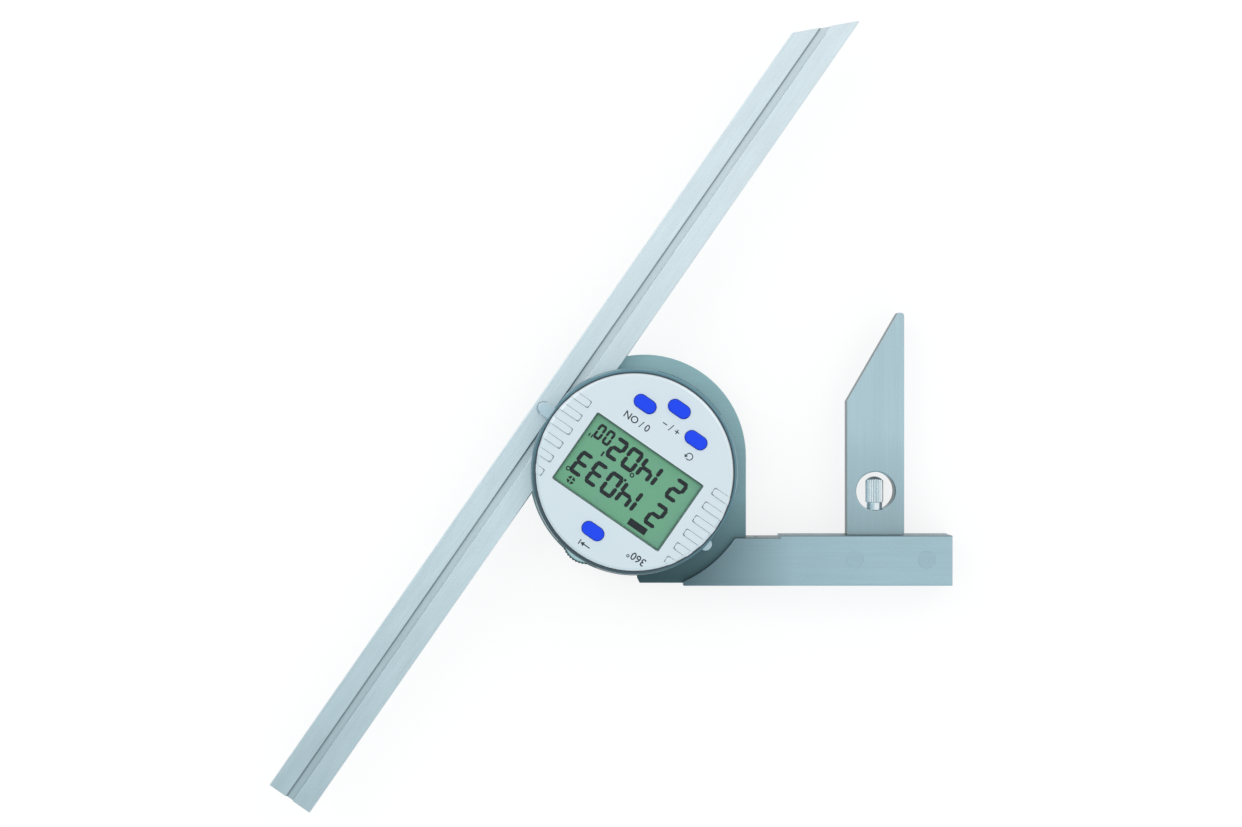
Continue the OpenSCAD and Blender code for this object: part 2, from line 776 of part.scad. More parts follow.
module cover_screws() {
    z0 = z_turn + screw_head_depth;
    color("#8d979b") dial() {
        post_holes(screw_radius, z0, z_board_top - 0.5);
        difference() {
            post_holes(screw_head_radius, z0 - 1.2, z0);
            for (sx = [-1, 1]) for (sy = [-1, 1]) translate([sx * post_x, sy * post_y, z0 - 1.3])
                for (a = [0, 90]) rotate([0, 0, a]) block([-1.3, -0.2, 0], [1.3, 0.2, 0.7]);
        }
    }
}

// Tray that carries the coin cell out through the housing's wall
module battery_drawer() {
    half = drawer_half_width - shaft_play;
    wall_top = z_board - 2 * close_play;
    color("#4a6672") dial() difference() {
        intersection() {
            union() {
                block([-half, -head_radius, z_drawer],
                      [half, coin_y + coin_diameter / 2 - 1, z_drawer + tray_floor]);
                block([-half, -head_radius, z_drawer], [half, coin_y + 4, wall_top]);
            }
            cylinder(r = head_radius - 0.15, h = z_top);
        }
        translate([0, coin_y, z_drawer + tray_floor])
            cylinder(r = coin_diameter / 2 + coin_play, h = coin_height + past);
        translate([0, coin_y, 0]) cylinder(r = 3, h = z_top);
        block([-4, -head_radius - past, wall_top - 0.9], [4, -head_radius + 1.2, wall_top + past]);
    }
}

module battery() {
    color("#b7bec2") dial() translate([0, coin_y, 0]) {
        rotate_extrude() polygon([
            [0, z_coin], [coin_diameter / 2 - 1, z_coin], [coin_diameter / 2, z_coin + 0.6],
            [coin_diameter / 2, z_coin + coin_height], [0, z_coin + coin_height]
        ]);
    }
}

module push_button(place) {
    z_lip = z_plate - 2 * slide_play;
    color("#2b4dff") dial() translate([place.x, place.y, 0]) {
        stadium(button_length, button_width, z_lip, z_top + button_rise, button_round);
        stadium(button_length + 2 * button_lip, button_width + 2 * button_lip,
                z_lip - button_lip_thickness, z_lip);
        z_stem = z_switch + button_travel + 2 * slide_play;
        translate([0, 0, z_stem]) cylinder(r = 1.2, h = z_lip - z_stem);
    }
}

module button_preset() {
    push_button(button_places[0]);
}

module button_zero() {
    push_button(button_places[1]);
}

module button_sign() {
    push_button(button_places[2]);
}

module button_mode() {
    push_button(button_places[3]);
}

// Blade

// Body left of a line through a point, used to cut the blade's slanted ends
module end_cut(place, turn) {
    translate([place.x, place.y, z_blade - past]) rotate([0, 0, turn])
        cube([4 * blade_width, 4 * blade_width, blade_thickness + 2 * past]);
}

module blade() {
    c = blade_chamfer;
    x0 = blade_x;
    x1 = blade_x + blade_width;
    g0 = groove_x;
    g1 = groove_x + groove_width;
    zb = z_blade;
    zt = z_blade_top;
    zg = z_blade_top - groove_depth;
    color("#b7ced8") dial() difference() {
        translate([0, -blade_reach, 0]) rotate([-90, 0, 0]) linear_extrude(blade_length)
            polygon([
                [x0 + c, -zb], [x1 - c, -zb], [x1, -zb - c], [x1, c - zt], [x1 - c, -zt],
                [g1 + c, -zt], [g1, c - zt], [g1, -zg], [g0, -zg], [g0, c - zt], [g0 - c, -zt],
                [x0 + c, -zt], [x0, c - zt], [x0, -zb - c]
            ]);
        end_cut([x0 + tip_flat, -blade_reach], upper_end_angle - 90);
        end_cut([x0 + tip_flat, blade_length - blade_reach], 90 - lower_end_angle);
    }
}

module blade_hook() {
    tip_x = hook_reach - hook_width / 2;
    tongue_x = groove_x + tongue_play;
    tongue_bottom = z_blade_top - groove_depth + 0.2;
    color("#a9c3ce") dial() {
        difference() {
            union() {
                translate([0, 0, z_hook]) cylinder(r = eye_radius, h = hook_thickness);
                block([0, -hook_width / 2, z_hook], [tip_x, hook_width / 2, z_hook_top]);
                translate([tip_x, 0, 0]) rotate_extrude() polygon([
                    [0, z_hook], [hook_width / 2, z_hook],
                    [hook_width / 2, z_hook_top - 0.5], [hook_width / 2 - 0.5, z_hook_top],
                    [0, z_hook_top]
                ]);
            }
            slot = eccentric_radius + eye_slot_play;
            block([-slot, -slot - 0.4, z_hook - past], [slot, slot + 0.4, z_hook_top + past]);
        }
        block([tongue_x, -hook_width / 2, tongue_bottom],
              [tongue_x + groove_width - 2 * tongue_play, hook_width / 2, z_hook]);
    }
}

// Knob, shaft and eccentric, turned in one piece
module clamp_knob() {
    z_recess = z_frame - washer_thickness - nut_thickness - 0.3;
    color("#7d929a") dial() {
        difference() {
            serrated_disc(clamp_knob_radius, clamp_knob_teeth, 0, knob_height, 0.6);
            tube(nut_radius + 0.6, clamp_shaft_radius - 0.1, z_recess, knob_height + past);
        }
        cylinder(r = clamp_shaft_radius, h = z_hook - slide_play);
        translate([0, eccentric_throw, z_hook - slide_play - 0.1])
            cylinder(r = eccentric_radius, h = hook_thickness + 0.1);
    }
}

// Thumb wheel, shaft and pinion of the fine feed
module fine_wheel() {
    color("#b4ccd2") dial() translate([0, feed_distance, 0]) {
        serrated_disc(wheel_radius, wheel_teeth, z_wheel, z_wheel + wheel_thickness, 0.3);
        translate([0, 0, z_turn + 0.1]) cylinder(r = pinion_shaft_radius, h = z_wheel - z_turn);
        translate([0, 0, z_turn + 0.1]) rotate([0, 0, 180 / pinion_teeth - 90])
            linear_extrude(z_gear_pocket - z_turn - 0.2) polygon(gear_outline(pinion_teeth));
    }
}

// Rotation lock

module lock_pad() {
    color("#bfd3da") at_lock() {
        block([deck_radius + 0.4, -lock_pad_radius, z_pad],
              [pad_x, lock_pad_radius, z_pad + lock_pad_thickness]);
        translate([pad_x, 0, z_pad]) cylinder(r = lock_pad_radius, h = lock_pad_thickness);
        translate([lock_distance, 0, 1.2])
            cylinder(r = lock_stud_radius, h = z_pad + lock_pad_thickness - 1.2);
    }
}

module lock_knob() {
    color("#7d929a") at_lock() translate([lock_distance, 0, 0]) difference() {
        serrated_disc(lock_knob_radius, lock_knob_teeth, 0.3, z_frame - knob_gap, 0.5);
        translate([0, 0, 0.8]) cylinder(r = lock_stud_radius + shaft_play, h = z_frame);
    }
}

// Acute-angle attachment

module along_screw(y) {
    translate([port_x, y, slot_z]) rotate([90, 0, 0]) children();
}

module acute_attachment() {
    w = attachment_width;
    h = attachment_height;
    blunt = (slant_start + w / tan(point_angle) - h) * tan(point_angle);
    z0 = slot_z - attachment_thickness / 2;
    key = slot_width / 2 - 0.1;
    mid = 1 - cos(45);
    color("#93b2bd") difference() {
        union() {
            translate([attachment_place, attachment_y, z0]) linear_extrude(attachment_thickness)
                polygon([
                    [0, 0], [w - 0.6, 0], [w, 0.6], [w, h - point_round],
                    [w - mid * point_round, h - mid * point_round], [w - point_round, h],
                    [w - max(blunt, point_round + 0.2), h], [0, slant_start]
                ]);
            block([attachment_place + 1, attachment_y - slot_lip + 0.4, slot_z - key],
                  [attachment_place + w - 1, attachment_y + 0.2, slot_z + key]);
        }
        translate([port_x, port_y, z0 - past])
            cylinder(r = port_radius, h = attachment_thickness + 2 * past);
        for (s = [0, 1]) translate([port_x, port_y, slot_z]) rotate([180 * s, 0, 0])
            translate([0, 0, attachment_thickness / 2 - edge_chamfer])
                cylinder(r1 = port_radius, r2 = port_radius + past + edge_chamfer,
                         h = past + edge_chamfer);
        along_screw(collar_y) cylinder(r = thumb_thread_radius + shaft_play, h = port_height);
        along_screw(port_y) cylinder(r = collar_radius + 0.1, h = port_y - collar_y + 0.15);
    }
}

module attachment_screw() {
    head_y = collar_y + thumb_collar + thumb_length;
    color("#9fb4bc") {
        along_screw(head_y) difference() {
            union() {
                serrated_disc(thumb_radius, thumb_teeth, thumb_crown, thumb_length,
                              knurl_chamfer);
                intersection() {
                    translate([0, 0, crown_ball]) sphere(r = crown_ball);
                    cylinder(r = crown_radius, h = thumb_crown + 0.5);
                }
            }
            block([-thumb_radius - past, -driver_slot / 2, -past],
                  [thumb_radius + past, driver_slot / 2, thumb_crown + driver_slot]);
        }
        along_screw(collar_y + thumb_collar) cylinder(r = collar_radius, h = thumb_collar);
        along_screw(collar_y) cylinder(r = thumb_thread_radius, h = collar_y - slot_bottom - 0.5);
    }
}

module slide_nut() {
    nut_top = stock_top - slot_lip - nut_travel_gap;
    half = slot_inner_width / 2 - 0.15;
    color("#8b9aa0") difference() {
        block([port_x - nut_length / 2, slot_bottom + 0.3, slot_z - half],
              [port_x + nut_length / 2, nut_top, slot_z + half]);
        along_screw(nut_top + past)
            cylinder(r = thumb_thread_radius + thread_play, h = slot_inner_height + 2 * past);
    }
}

base_frame();
stock();
stock_pins();
stock_grub_screw();
bearing_bush();
encoder_stator();
feed_gear();
turntable();
thrust_washer();
retaining_nut();
encoder_rotor();
housing();
top_cover();
lcd_lens();
lcd_panel();
display_strips();
circuit_board();
switches();
flex_cable();
battery_contact();
cover_screws();
battery_drawer();
battery();
button_preset();
button_zero();
button_sign();
button_mode();
blade();
blade_hook();
clamp_knob();
fine_wheel();
lock_pad();
lock_knob();
acute_attachment();
attachment_screw();
slide_nut();
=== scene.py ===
import json
import math

import bmesh
import bpy
from mathutils import Matrix, Vector


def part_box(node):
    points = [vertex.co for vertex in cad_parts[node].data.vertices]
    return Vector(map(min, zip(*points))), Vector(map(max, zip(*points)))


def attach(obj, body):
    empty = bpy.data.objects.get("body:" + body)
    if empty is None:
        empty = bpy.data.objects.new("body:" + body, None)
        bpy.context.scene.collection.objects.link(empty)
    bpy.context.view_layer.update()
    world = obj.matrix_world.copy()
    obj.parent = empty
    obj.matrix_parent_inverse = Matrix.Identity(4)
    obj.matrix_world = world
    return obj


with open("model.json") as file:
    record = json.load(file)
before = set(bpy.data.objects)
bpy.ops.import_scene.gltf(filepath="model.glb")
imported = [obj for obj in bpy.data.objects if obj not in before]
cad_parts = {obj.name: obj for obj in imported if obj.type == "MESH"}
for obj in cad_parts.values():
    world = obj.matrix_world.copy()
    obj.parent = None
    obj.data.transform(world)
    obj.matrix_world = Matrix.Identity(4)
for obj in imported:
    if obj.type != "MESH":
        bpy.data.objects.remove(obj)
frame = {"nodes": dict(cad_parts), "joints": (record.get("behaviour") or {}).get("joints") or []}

bl_info = {
    "name": "Digital protractor finish",
    "version": (1, 0, 0),
    "blender": (4, 5, 0),
    "location": "View3D > Sidebar > Protractor",
    "description": "Gives the packed protractor its finishes, display, print and studio",
    "category": "Object",
}

MM = 0.001
RIGHT, BACK, OUT = Vector((1, 0, 0)), Vector((0, 1, 0)), Vector((0, 0, 1))

# The reading's own directions: along a row of digits, up the reading, and out of the face
SLIDE = next(joint for joint in frame["joints"] if joint["name"] == "blade_slide")
BLADE_WAY = Vector(SLIDE["axis"]).normalized()
UP = -BLADE_WAY
ALONG = UP.cross(OUT)
READING = Matrix((ALONG, UP, OUT)).transposed().to_4x4()
READING_TURN = math.atan2(ALONG.y, ALONG.x)


def top_of(name):
    """Height of a CAD node's top."""
    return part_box(name)[1].z


def middle_of(name):
    """Centre of a CAD node's box."""
    low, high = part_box(name)
    return (Vector(low) + Vector(high)) / 2


def reach_of(name, way):
    """How far a CAD node reaches along a way, from the origin."""
    return max(way.dot(corner.co) for corner in frame["nodes"][name].data.vertices)


def linear(code):
    """A colour written as its six-digit screen code, turned into the renderer's linear values."""
    parts = [int(code[i:i + 2], 16) / 255 for i in (0, 2, 4)]
    return tuple(p / 12.92 if p <= 0.04045 else ((p + 0.055) / 1.055) ** 2.4 for p in parts)


def shade(colour, factor):
    """The same colour, darker or lighter by a factor, with an alpha of one."""
    return tuple(min(1.0, c * factor) for c in colour[:3]) + (1.0,)


# Node trees

class Tree:
    """Adds nodes to one tree and joins them, so that a material reads as a list of steps."""

    def __init__(self, tree):
        self.tree = tree

    def add(self, kind, feeds=None, **settings):
        """A new node with its settings and inputs, given by name or number."""
        made = self.tree.nodes.new(kind)
        for name, value in settings.items():
            setattr(made, name, value)
        for key, value in (feeds or {}).items():
            self.feed(made.inputs[key], value)
        return made

    def feed(self, socket, value):
        """Joins a socket to another one, or gives it a value."""
        if isinstance(value, bpy.types.NodeSocket):
            self.tree.links.new(value, socket)
        else:
            socket.default_value = value

    def dress(self, shader, **values):
        """Feeds a shader's sockets, whose names are written with a _ for each space."""
        for label, value in values.items():
            self.feed(shader.inputs[label.replace("_", " ")], value)

    def maths(self, operation, a, b=0.0):
        """The result of one sum on two values."""
        return self.add("ShaderNodeMath", {0: a, 1: b}, operation=operation).outputs[0]

    def times(self, a, b):
        """The product of two values."""
        return self.maths("MULTIPLY", a, b)

    def vectors(self, operation, a, b):
        """The result of one sum on two vectors: a value for a dot product, else a vector."""
        made = self.add("ShaderNodeVectorMath", {0: a, 1: b}, operation=operation)
        return made.outputs["Value" if operation == "DOT_PRODUCT" else "Vector"]

    def blend(self, factor, a, b):
        """Two colours mixed by a factor."""
        return self.add("ShaderNodeMix", {0: factor, 6: a, 7: b}, data_type="RGBA").outputs[2]

    def noise(self, vector, scale, detail, roughness=0.5, distortion=0.0):
        """The value of a noise."""
        return self.add("ShaderNodeTexNoise", {
            "Vector": vector, "Scale": scale, "Detail": detail, "Roughness": roughness,
            "Distortion": distortion}).outputs["Fac"]

    def between(self, value, low, high, start=0.0, end=1.0):
        """A value moved from one range to another."""
        return self.add("ShaderNodeMapRange", {
            "Value": value, "From Min": start, "From Max": end, "To Min": low,
            "To Max": high}).outputs[0]


def new_group(name, takes, gives):
    """A group that takes a vector and sizes, with its tree, its inputs and its output node."""
    group = bpy.data.node_groups.new(name, "ShaderNodeTree")
    group.interface.new_socket("Vector", in_out="INPUT", socket_type="NodeSocketVector")
    for label, size in takes.items():
        socket = group.interface.new_socket(label, in_out="INPUT", socket_type="NodeSocketFloat")
        socket.default_value = size
    for label in gives:
        kind = "NodeSocketVector" if label == "Normal" else "NodeSocketFloat"
        group.interface.new_socket(label, in_out="OUTPUT", socket_type=kind)
    tree = Tree(group)
    return group, tree, tree.add("NodeGroupInput").outputs, tree.add("NodeGroupOutput")


def stretched(tree, vector, along, across):
    """Coordinates for a grain that is long one way and narrow the other two, in metres."""
    narrow = tree.maths("DIVIDE", 1.0, across)
    scale = tree.add("ShaderNodeCombineXYZ", {
        0: tree.maths("DIVIDE", 1.0, along), 1: narrow, 2: narrow})
    return tree.vectors("MULTIPLY", vector, scale.outputs[0])


def brushed_group():
    """Straight grinding lines: long fine streaks with a coarser set under them."""
    group, tree, takes, end = new_group(
        "Ground lines", {"Length": 30 * MM, "Width": 0.25 * MM}, ("Streak", "Band"))
    vector, length, width = takes["Vector"], takes["Length"], takes["Width"]
    fine = tree.noise(stretched(tree, vector, length, width), 1.0, 3.0, 0.65)
    wide = tree.times(width, 9.0)
    long = tree.times(length, 1.6)
    coarse = tree.noise(stretched(tree, vector, long, wide), 1.0, 2.0)
    tree.feed(end.inputs["Streak"], fine)
    tree.feed(end.inputs["Band"], coarse)
    return group


def speckle_group():
    """Fine grains of a blasted or cast surface."""
    group, tree, takes, end = new_group("Grains", {"Grain": 0.3 * MM}, ("Grains",))
    scale = tree.maths("DIVIDE", 1.0, takes["Grain"])
    tree.feed(end.inputs["Grains"], tree.noise(takes["Vector"], scale, 4.0, 0.6))
    return group


def handling_group():
    """Slow clouds of rubbed and clean places, as hands leave on a tool."""
    group, tree, takes, end = new_group("Handling", {"Size": 30 * MM}, ("Cloud",))
    scale = tree.maths("DIVIDE", 1.0, takes["Size"])
    clouds = tree.noise(takes["Vector"], scale, 5.0, 0.55, 0.4)
    tree.feed(end.inputs["Cloud"], tree.between(clouds, 0.0, 1.0, 0.3, 0.7))
    return group


def edge_wear_and_highlight_group():
    """Where an edge is: a mask from how far a rounded normal leans from the flat one, which the
    materials use to lighten edges, partly as rubbed wear and partly as a painted highlight.
    """
    group, tree, takes, end = new_group("Worn edges and painted highlight", {"Radius": 0.3 * MM}, ("Edge", "Normal"))
    round_edge = tree.add("ShaderNodeBevel", {"Radius": takes["Radius"]}, samples=6)
    flat = tree.add("ShaderNodeNewGeometry").outputs["Normal"]
    edge = tree.between(tree.vectors("DOT_PRODUCT", round_edge.outputs[0], flat),
                        1.0, 0.0, 0.72, 0.995)
    rub = tree.between(tree.noise(takes["Vector"], 260.0, 3.0), 0.45, 1.2, 0.35, 0.6)
    # Edge mask broken up by noise: it lightens edges as rubbed wear and as a painted highlight
    rubbed = tree.times(edge, rub)
    tree.feed(end.inputs["Edge"], tree.maths("MINIMUM", rubbed, 1.0))
    tree.feed(end.inputs["Normal"], round_edge.outputs[0])
    return group


GROUP_MAKERS = {
    "Ground lines": brushed_group, "Grains": speckle_group,
    "Handling": handling_group, "Worn edges and painted highlight": edge_wear_and_highlight_group,
}


def effect(tree, name, vector, **sizes):
    """Places one of the shared effects in a material, building its group the first time."""
    group = bpy.data.node_groups.get(name) or GROUP_MAKERS[name]()
    return tree.add("ShaderNodeGroup", {"Vector": vector, **sizes}, node_tree=group).outputs


def new_material(name, **plain):
    """A material with its tree, its shader that takes the plain values, and its coordinates."""
    material = bpy.data.materials.new(name)
    material.use_nodes = True
    tree = Tree(material.node_tree)
    shader = material.node_tree.nodes["Principled BSDF"]
    tree.dress(shader, **plain)
    place = tree.add("ShaderNodeTexCoord").outputs["Object"]
    return material, tree, shader, place


def turned_place(tree, place, angle, centre=(0.0, 0.0, 0.0)):
    """Object coordinates about a centre, turned so that X runs along the grain."""
    moved = tree.vectors("SUBTRACT", place, centre)
    return tree.add("ShaderNodeVectorRotate", {"Vector": moved, "Angle": -angle},
                    rotation_type="Z_AXIS").outputs[0]


def polar(tree, place):
    """The turn round the vertical axis, the distance from it and the height."""
    x, y, height = tree.add("ShaderNodeSeparateXYZ", {0: place}).outputs
    away = tree.maths("SQRT", tree.maths("ADD", tree.times(x, x), tree.times(y, y)))
    return tree.maths("ARCTAN2", y, x), away, height


def ring_place(tree, place, centre):
    """Coordinates whose X runs round a vertical axis, Y away from it and Z up."""
    usual_radius = 10 * MM
    turn, away, height = polar(tree, tree.vectors("SUBTRACT", place, centre))
    return tree.add("ShaderNodeCombineXYZ", {
        0: tree.times(turn, usual_radius), 1: away, 2: height}).outputs[0]


def painted_shade(tree, place, base, colour, shade_bands):
    """Paints shade: darkens a colour round places along a way: the way, the place, its reach, its
    share.
    """
    # The dark colour of the painted shade
    painted_shade_colour = (colour[0] * 0.07, colour[1] * 0.12, colour[2] * 0.13, 1.0)
    for way, dark, reach, share in shade_bands:
        along = tree.vectors("DOT_PRODUCT", place, way)
        off = tree.maths("ABSOLUTE", tree.maths("SUBTRACT", along, dark))
        base = tree.blend(tree.between(off, share, 0.0, 0.0, reach), base, painted_shade_colour)
    return base


def relief(tree, strength, depth, height, normal):
    """A normal that follows a height, over the rounded edges' normal."""
    return tree.add("ShaderNodeBump", {
        "Strength": strength, "Distance": depth, "Height": height, "Normal": normal}).outputs[0]


def ground_steel(name, colour, angle, streak=0.10, roughness=0.36, length=30 * MM,
                 width=0.22 * MM, shade_bands=(), shaded_side=None):
    """Flat-ground steel: lines along one direction, fine grains, clouds, bands of painted shade and
    rubbed edges lightened partly as a painted highlight.

    A shaded side (flank) is a way and a share: the faces that look that way are made darker as
    painted shade.
    """
    material, tree, shader, place = new_material(name, Metallic=0.75)
    lines = effect(tree, "Ground lines", turned_place(tree, place, angle), Length=length,
                   Width=width)
    clouds = effect(tree, "Handling", place, Size=35 * MM)
    grains = effect(tree, "Grains", place, Grain=0.5 * MM)
    edges = effect(tree, "Worn edges and painted highlight", place, Radius=0.28 * MM)
    tone = tree.maths("ADD", tree.times(lines["Streak"], 0.65), tree.times(lines["Band"], 0.35))
    base = tree.blend(tree.between(tone, 0.0, 1.0, 0.3, 0.7),
                      shade(colour, 1 - streak), shade(colour, 1 + streak))
    base = tree.blend(tree.between(grains["Grains"], 0.0, 0.3, 0.35, 0.65), base,
                      shade(colour, 1.22))
    base = tree.blend(tree.times(clouds["Cloud"], 0.25), base, shade(colour, 0.86))
    base = painted_shade(tree, place, base, colour, shade_bands)
    # Rubbed edges lightened, partly as wear and partly as a painted highlight
    base = tree.blend(tree.times(edges["Edge"], 0.45), base, shade(colour, 1.35))
    # Painted shade on the faces that look one way
    if shaded_side:
        way, share = shaded_side
        normal = tree.add("ShaderNodeTexCoord").outputs["Normal"]
        facing = tree.vectors("DOT_PRODUCT", normal, way)
        base = tree.blend(tree.between(facing, 0.0, share, 0.5, 0.8), base, shade(colour, 0.1))
    gloss = tree.between(tone, roughness - 0.07, roughness + 0.09, 0.3, 0.7)
    gloss = tree.maths("ADD", gloss, tree.times(clouds["Cloud"], 0.05))
    tree.dress(shader, Base_Color=base, Roughness=gloss,
               Normal=relief(tree, 0.18, 0.02 * MM, lines["Streak"], edges["Normal"]))
    return material


def turned_steel(name, colour, centre=(0.0, 0.0, 0.0), roughness=0.3, ringed=True, shade_bands=()):
    """Lathe-turned steel: fine rings round its axis, bright rubbed edges that are partly a painted
    highlight, and bands of painted shade.

    On ringed steel the bands of painted shade count round the axis as X, away from it as Y and up
    as Z.
    """
    material, tree, shader, place = new_material(name, Metallic=0.9)
    way = ring_place(tree, place, centre) if ringed else place
    lines = effect(tree, "Ground lines", way, Length=20 * MM, Width=0.12 * MM)
    clouds = effect(tree, "Handling", place, Size=12 * MM)
    edges = effect(tree, "Worn edges and painted highlight", place, Radius=0.2 * MM)
    base = tree.blend(tree.between(lines["Streak"], 0.0, 1.0, 0.3, 0.7),
                      shade(colour, 0.9), shade(colour, 1.1))
    # Rubbed edges lightened, partly as wear and partly as a painted highlight
    base = tree.blend(tree.times(edges["Edge"], 0.6), base, shade(colour, 1.4))
    base = painted_shade(tree, way, base, colour, shade_bands)
    tree.dress(shader, Base_Color=base,
               Roughness=tree.between(clouds["Cloud"], roughness - 0.05, roughness + 0.1),
               Normal=relief(tree, 0.2, 0.02 * MM, lines["Streak"], edges["Normal"]))
    return material


def moulded(name, colour, roughness=0.45, grain=0.25 * MM, depth=0.15, metallic=0.0, coat=0.0,
            edge=0.3, specular=0.5, shade_bands=()):
    """Moulded plastic or rubber, with a fine skin, slow clouds, slightly rubbed edges lightened
    partly as a painted highlight, and bands of painted shade.
    """
    material, tree, shader, place = new_material(
        name, Metallic=metallic, Coat_Weight=coat, Coat_Roughness=0.25, Specular_IOR_Level=specular)
    grains = effect(tree, "Grains", place, Grain=grain)
    clouds = effect(tree, "Handling", place, Size=15 * MM)
    edges = effect(tree, "Worn edges and painted highlight", place, Radius=0.25 * MM)
    base = tree.blend(grains["Grains"], shade(colour, 0.94), shade(colour, 1.05))
    base = painted_shade(tree, place, base, colour, shade_bands)
    # Rubbed edges lightened, partly as wear and partly as a painted highlight
    base = tree.blend(tree.times(edges["Edge"], edge), base, shade(colour, 1.5))
    tree.dress(shader, Base_Color=base,
               Roughness=tree.between(clouds["Cloud"], roughness - 0.05, roughness + 0.07),
               Normal=relief(tree, depth, 0.03 * MM, grains["Grains"], edges["Normal"]))
    return material


def finish_node(name, material):
    """Gives a CAD node's object its material."""
    for slot in frame["nodes"][name].material_slots:
        slot.material = material


# Mesh helpers

def link(name, data):
    """A new object at the origin that shows a mesh, a curve, a lamp or a camera."""
    made = bpy.data.objects.new(name, data)
    bpy.context.scene.collection.objects.link(made)
    return made


def lay(name, mesh, height, body, material):
    """Lays a mesh drawn in the reading's plane at a height, as a finished piece of a body."""
    mesh.transform(Matrix.Translation((0, 0, height)) @ READING)
    mesh.materials.clear()
    mesh.materials.append(material)
    piece = link(name, mesh)
    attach(piece, body)


def meshed(holder):
    """The plain mesh that an object shows; the object itself goes."""
    graph = bpy.context.evaluated_depsgraph_get()
    graph.update()
    mesh = bpy.data.meshes.new_from_object(holder.evaluated_get(graph))
    bpy.data.objects.remove(holder)
    return mesh


def cleaned(mesh):
    """Merges a mesh's doubles and turns its faces outwards."""
    work = bmesh.new()
    work.from_mesh(mesh)
    bmesh.ops.remove_doubles(work, verts=work.verts, dist=1e-7)
    bmesh.ops.recalc_face_normals(work, faces=work.faces)
    work.to_mesh(mesh)
    work.free()
    return mesh


def prism(name, outlines, height):
    """Upright prisms of one height, one for each anticlockwise outline in the reading's plane."""
    corners, faces = [], []
    for outline in outlines:
        first, count = len(corners), len(outline)
        corners += [(x, y, 0.0) for x, y in outline] + [(x, y, height) for x, y in outline]
        faces.append([first + i for i in reversed(range(count))])
        faces.append([first + count + i for i in range(count)])
        for i in range(count):
            j = (i + 1) % count
            faces.append([first + i, first + j, first + count + j, first + count + i])
    mesh = bpy.data.meshes.new(name)
    mesh.from_pydata(corners, [], faces)
    return mesh


def joined(name, meshes):
    """One mesh out of several."""
    work = bmesh.new()
    for mesh in meshes:
        work.from_mesh(mesh)
        bpy.data.meshes.remove(mesh)
    whole = bpy.data.meshes.new(name)
    work.to_mesh(whole)
    work.free()
    return whole


def lettering(text, size, place, height):
    """Plain upright lettering, centred on a place in the reading's plane."""
    bolder = 0.012
    curve = bpy.data.curves.new("lettering", "FONT")
    curve.body = text
    curve.size = size
    curve.extrude = height / 2
    curve.offset = size * bolder
    curve.resolution_u = 4
    curve.align_x = "CENTER"
    curve.align_y = "CENTER"
    mesh = meshed(link("lettering", curve))
    bpy.data.curves.remove(curve)
    mesh.transform(Matrix.Translation((place[0], place[1], height / 2)))
    return cleaned(mesh)


# Geometry Nodes: flat bars laid along a cloud of points

def flat_bars_tree():
    """Each point becomes a bar with pointed ends, its own turn and length, and the same lean."""
    group = bpy.data.node_groups.new("Flat bars", "GeometryNodeTree")
    group.is_modifier = True
    for label, kind in (("Geometry", "Geometry"), ("Length", "Float"), ("Width", "Float"),
                        ("Height", "Float"), ("Lean", "Float"), ("Material", "Material")):
        group.interface.new_socket(label, in_out="INPUT", socket_type="NodeSocket" + kind)
    group.interface.new_socket("Geometry", in_out="OUTPUT", socket_type="NodeSocketGeometry")
    tree = Tree(group)
    takes = tree.add("NodeGroupInput").outputs
    half_width = tree.maths("DIVIDE", takes["Width"], 2.0)
    half_way = tree.maths("SUBTRACT", tree.maths("DIVIDE", takes["Length"], 2.0), half_width)
    tip = tree.add("GeometryNodeMeshCylinder", {
        "Vertices": 4, "Radius": half_width, "Depth": takes["Height"]})
    ends = tree.add("GeometryNodeJoinGeometry")
    for sign in (1.0, -1.0):
        shift = tree.add("ShaderNodeCombineXYZ", {
            0: tree.times(half_way, sign),
            2: tree.maths("DIVIDE", takes["Height"], 2.0)})
        moved = tree.add("GeometryNodeTransform", {
            "Geometry": tip.outputs["Mesh"], "Translation": shift.outputs[0]})
        tree.feed(ends.inputs[0], moved.outputs[0])
    bar = tree.add("GeometryNodeConvexHull", {0: ends.outputs[0]})
    turn = tree.add("GeometryNodeInputNamedAttribute", {"Name": "turn"}, data_type="FLOAT")
    stretch = tree.add("GeometryNodeInputNamedAttribute", {"Name": "stretch"}, data_type="FLOAT")
    turned = tree.add("ShaderNodeCombineXYZ", {2: turn.outputs[0]})
    scaled = tree.add("ShaderNodeCombineXYZ", {0: stretch.outputs[0], 1: 1.0, 2: 1.0})
    laid = tree.add("GeometryNodeInstanceOnPoints", {
        "Points": takes["Geometry"], "Instance": bar.outputs[0],
        "Rotation": turned.outputs[0], "Scale": scaled.outputs[0]})
    real = tree.add("GeometryNodeRealizeInstances", {0: laid.outputs[0]})
    place = tree.add("ShaderNodeSeparateXYZ", {0: tree.add("GeometryNodeInputPosition").outputs[0]})
    lean = tree.add("ShaderNodeCombineXYZ", {
        0: tree.times(place.outputs["Y"], takes["Lean"])})
    leaning = tree.add("GeometryNodeSetPosition", {
        "Geometry": real.outputs[0], "Offset": lean.outputs[0]})
    dressed = tree.add("GeometryNodeSetMaterial", {
        "Geometry": leaning.outputs[0], "Material": takes["Material"]})
    tree.add("NodeGroupOutput", {0: dressed.outputs[0]})
    return group


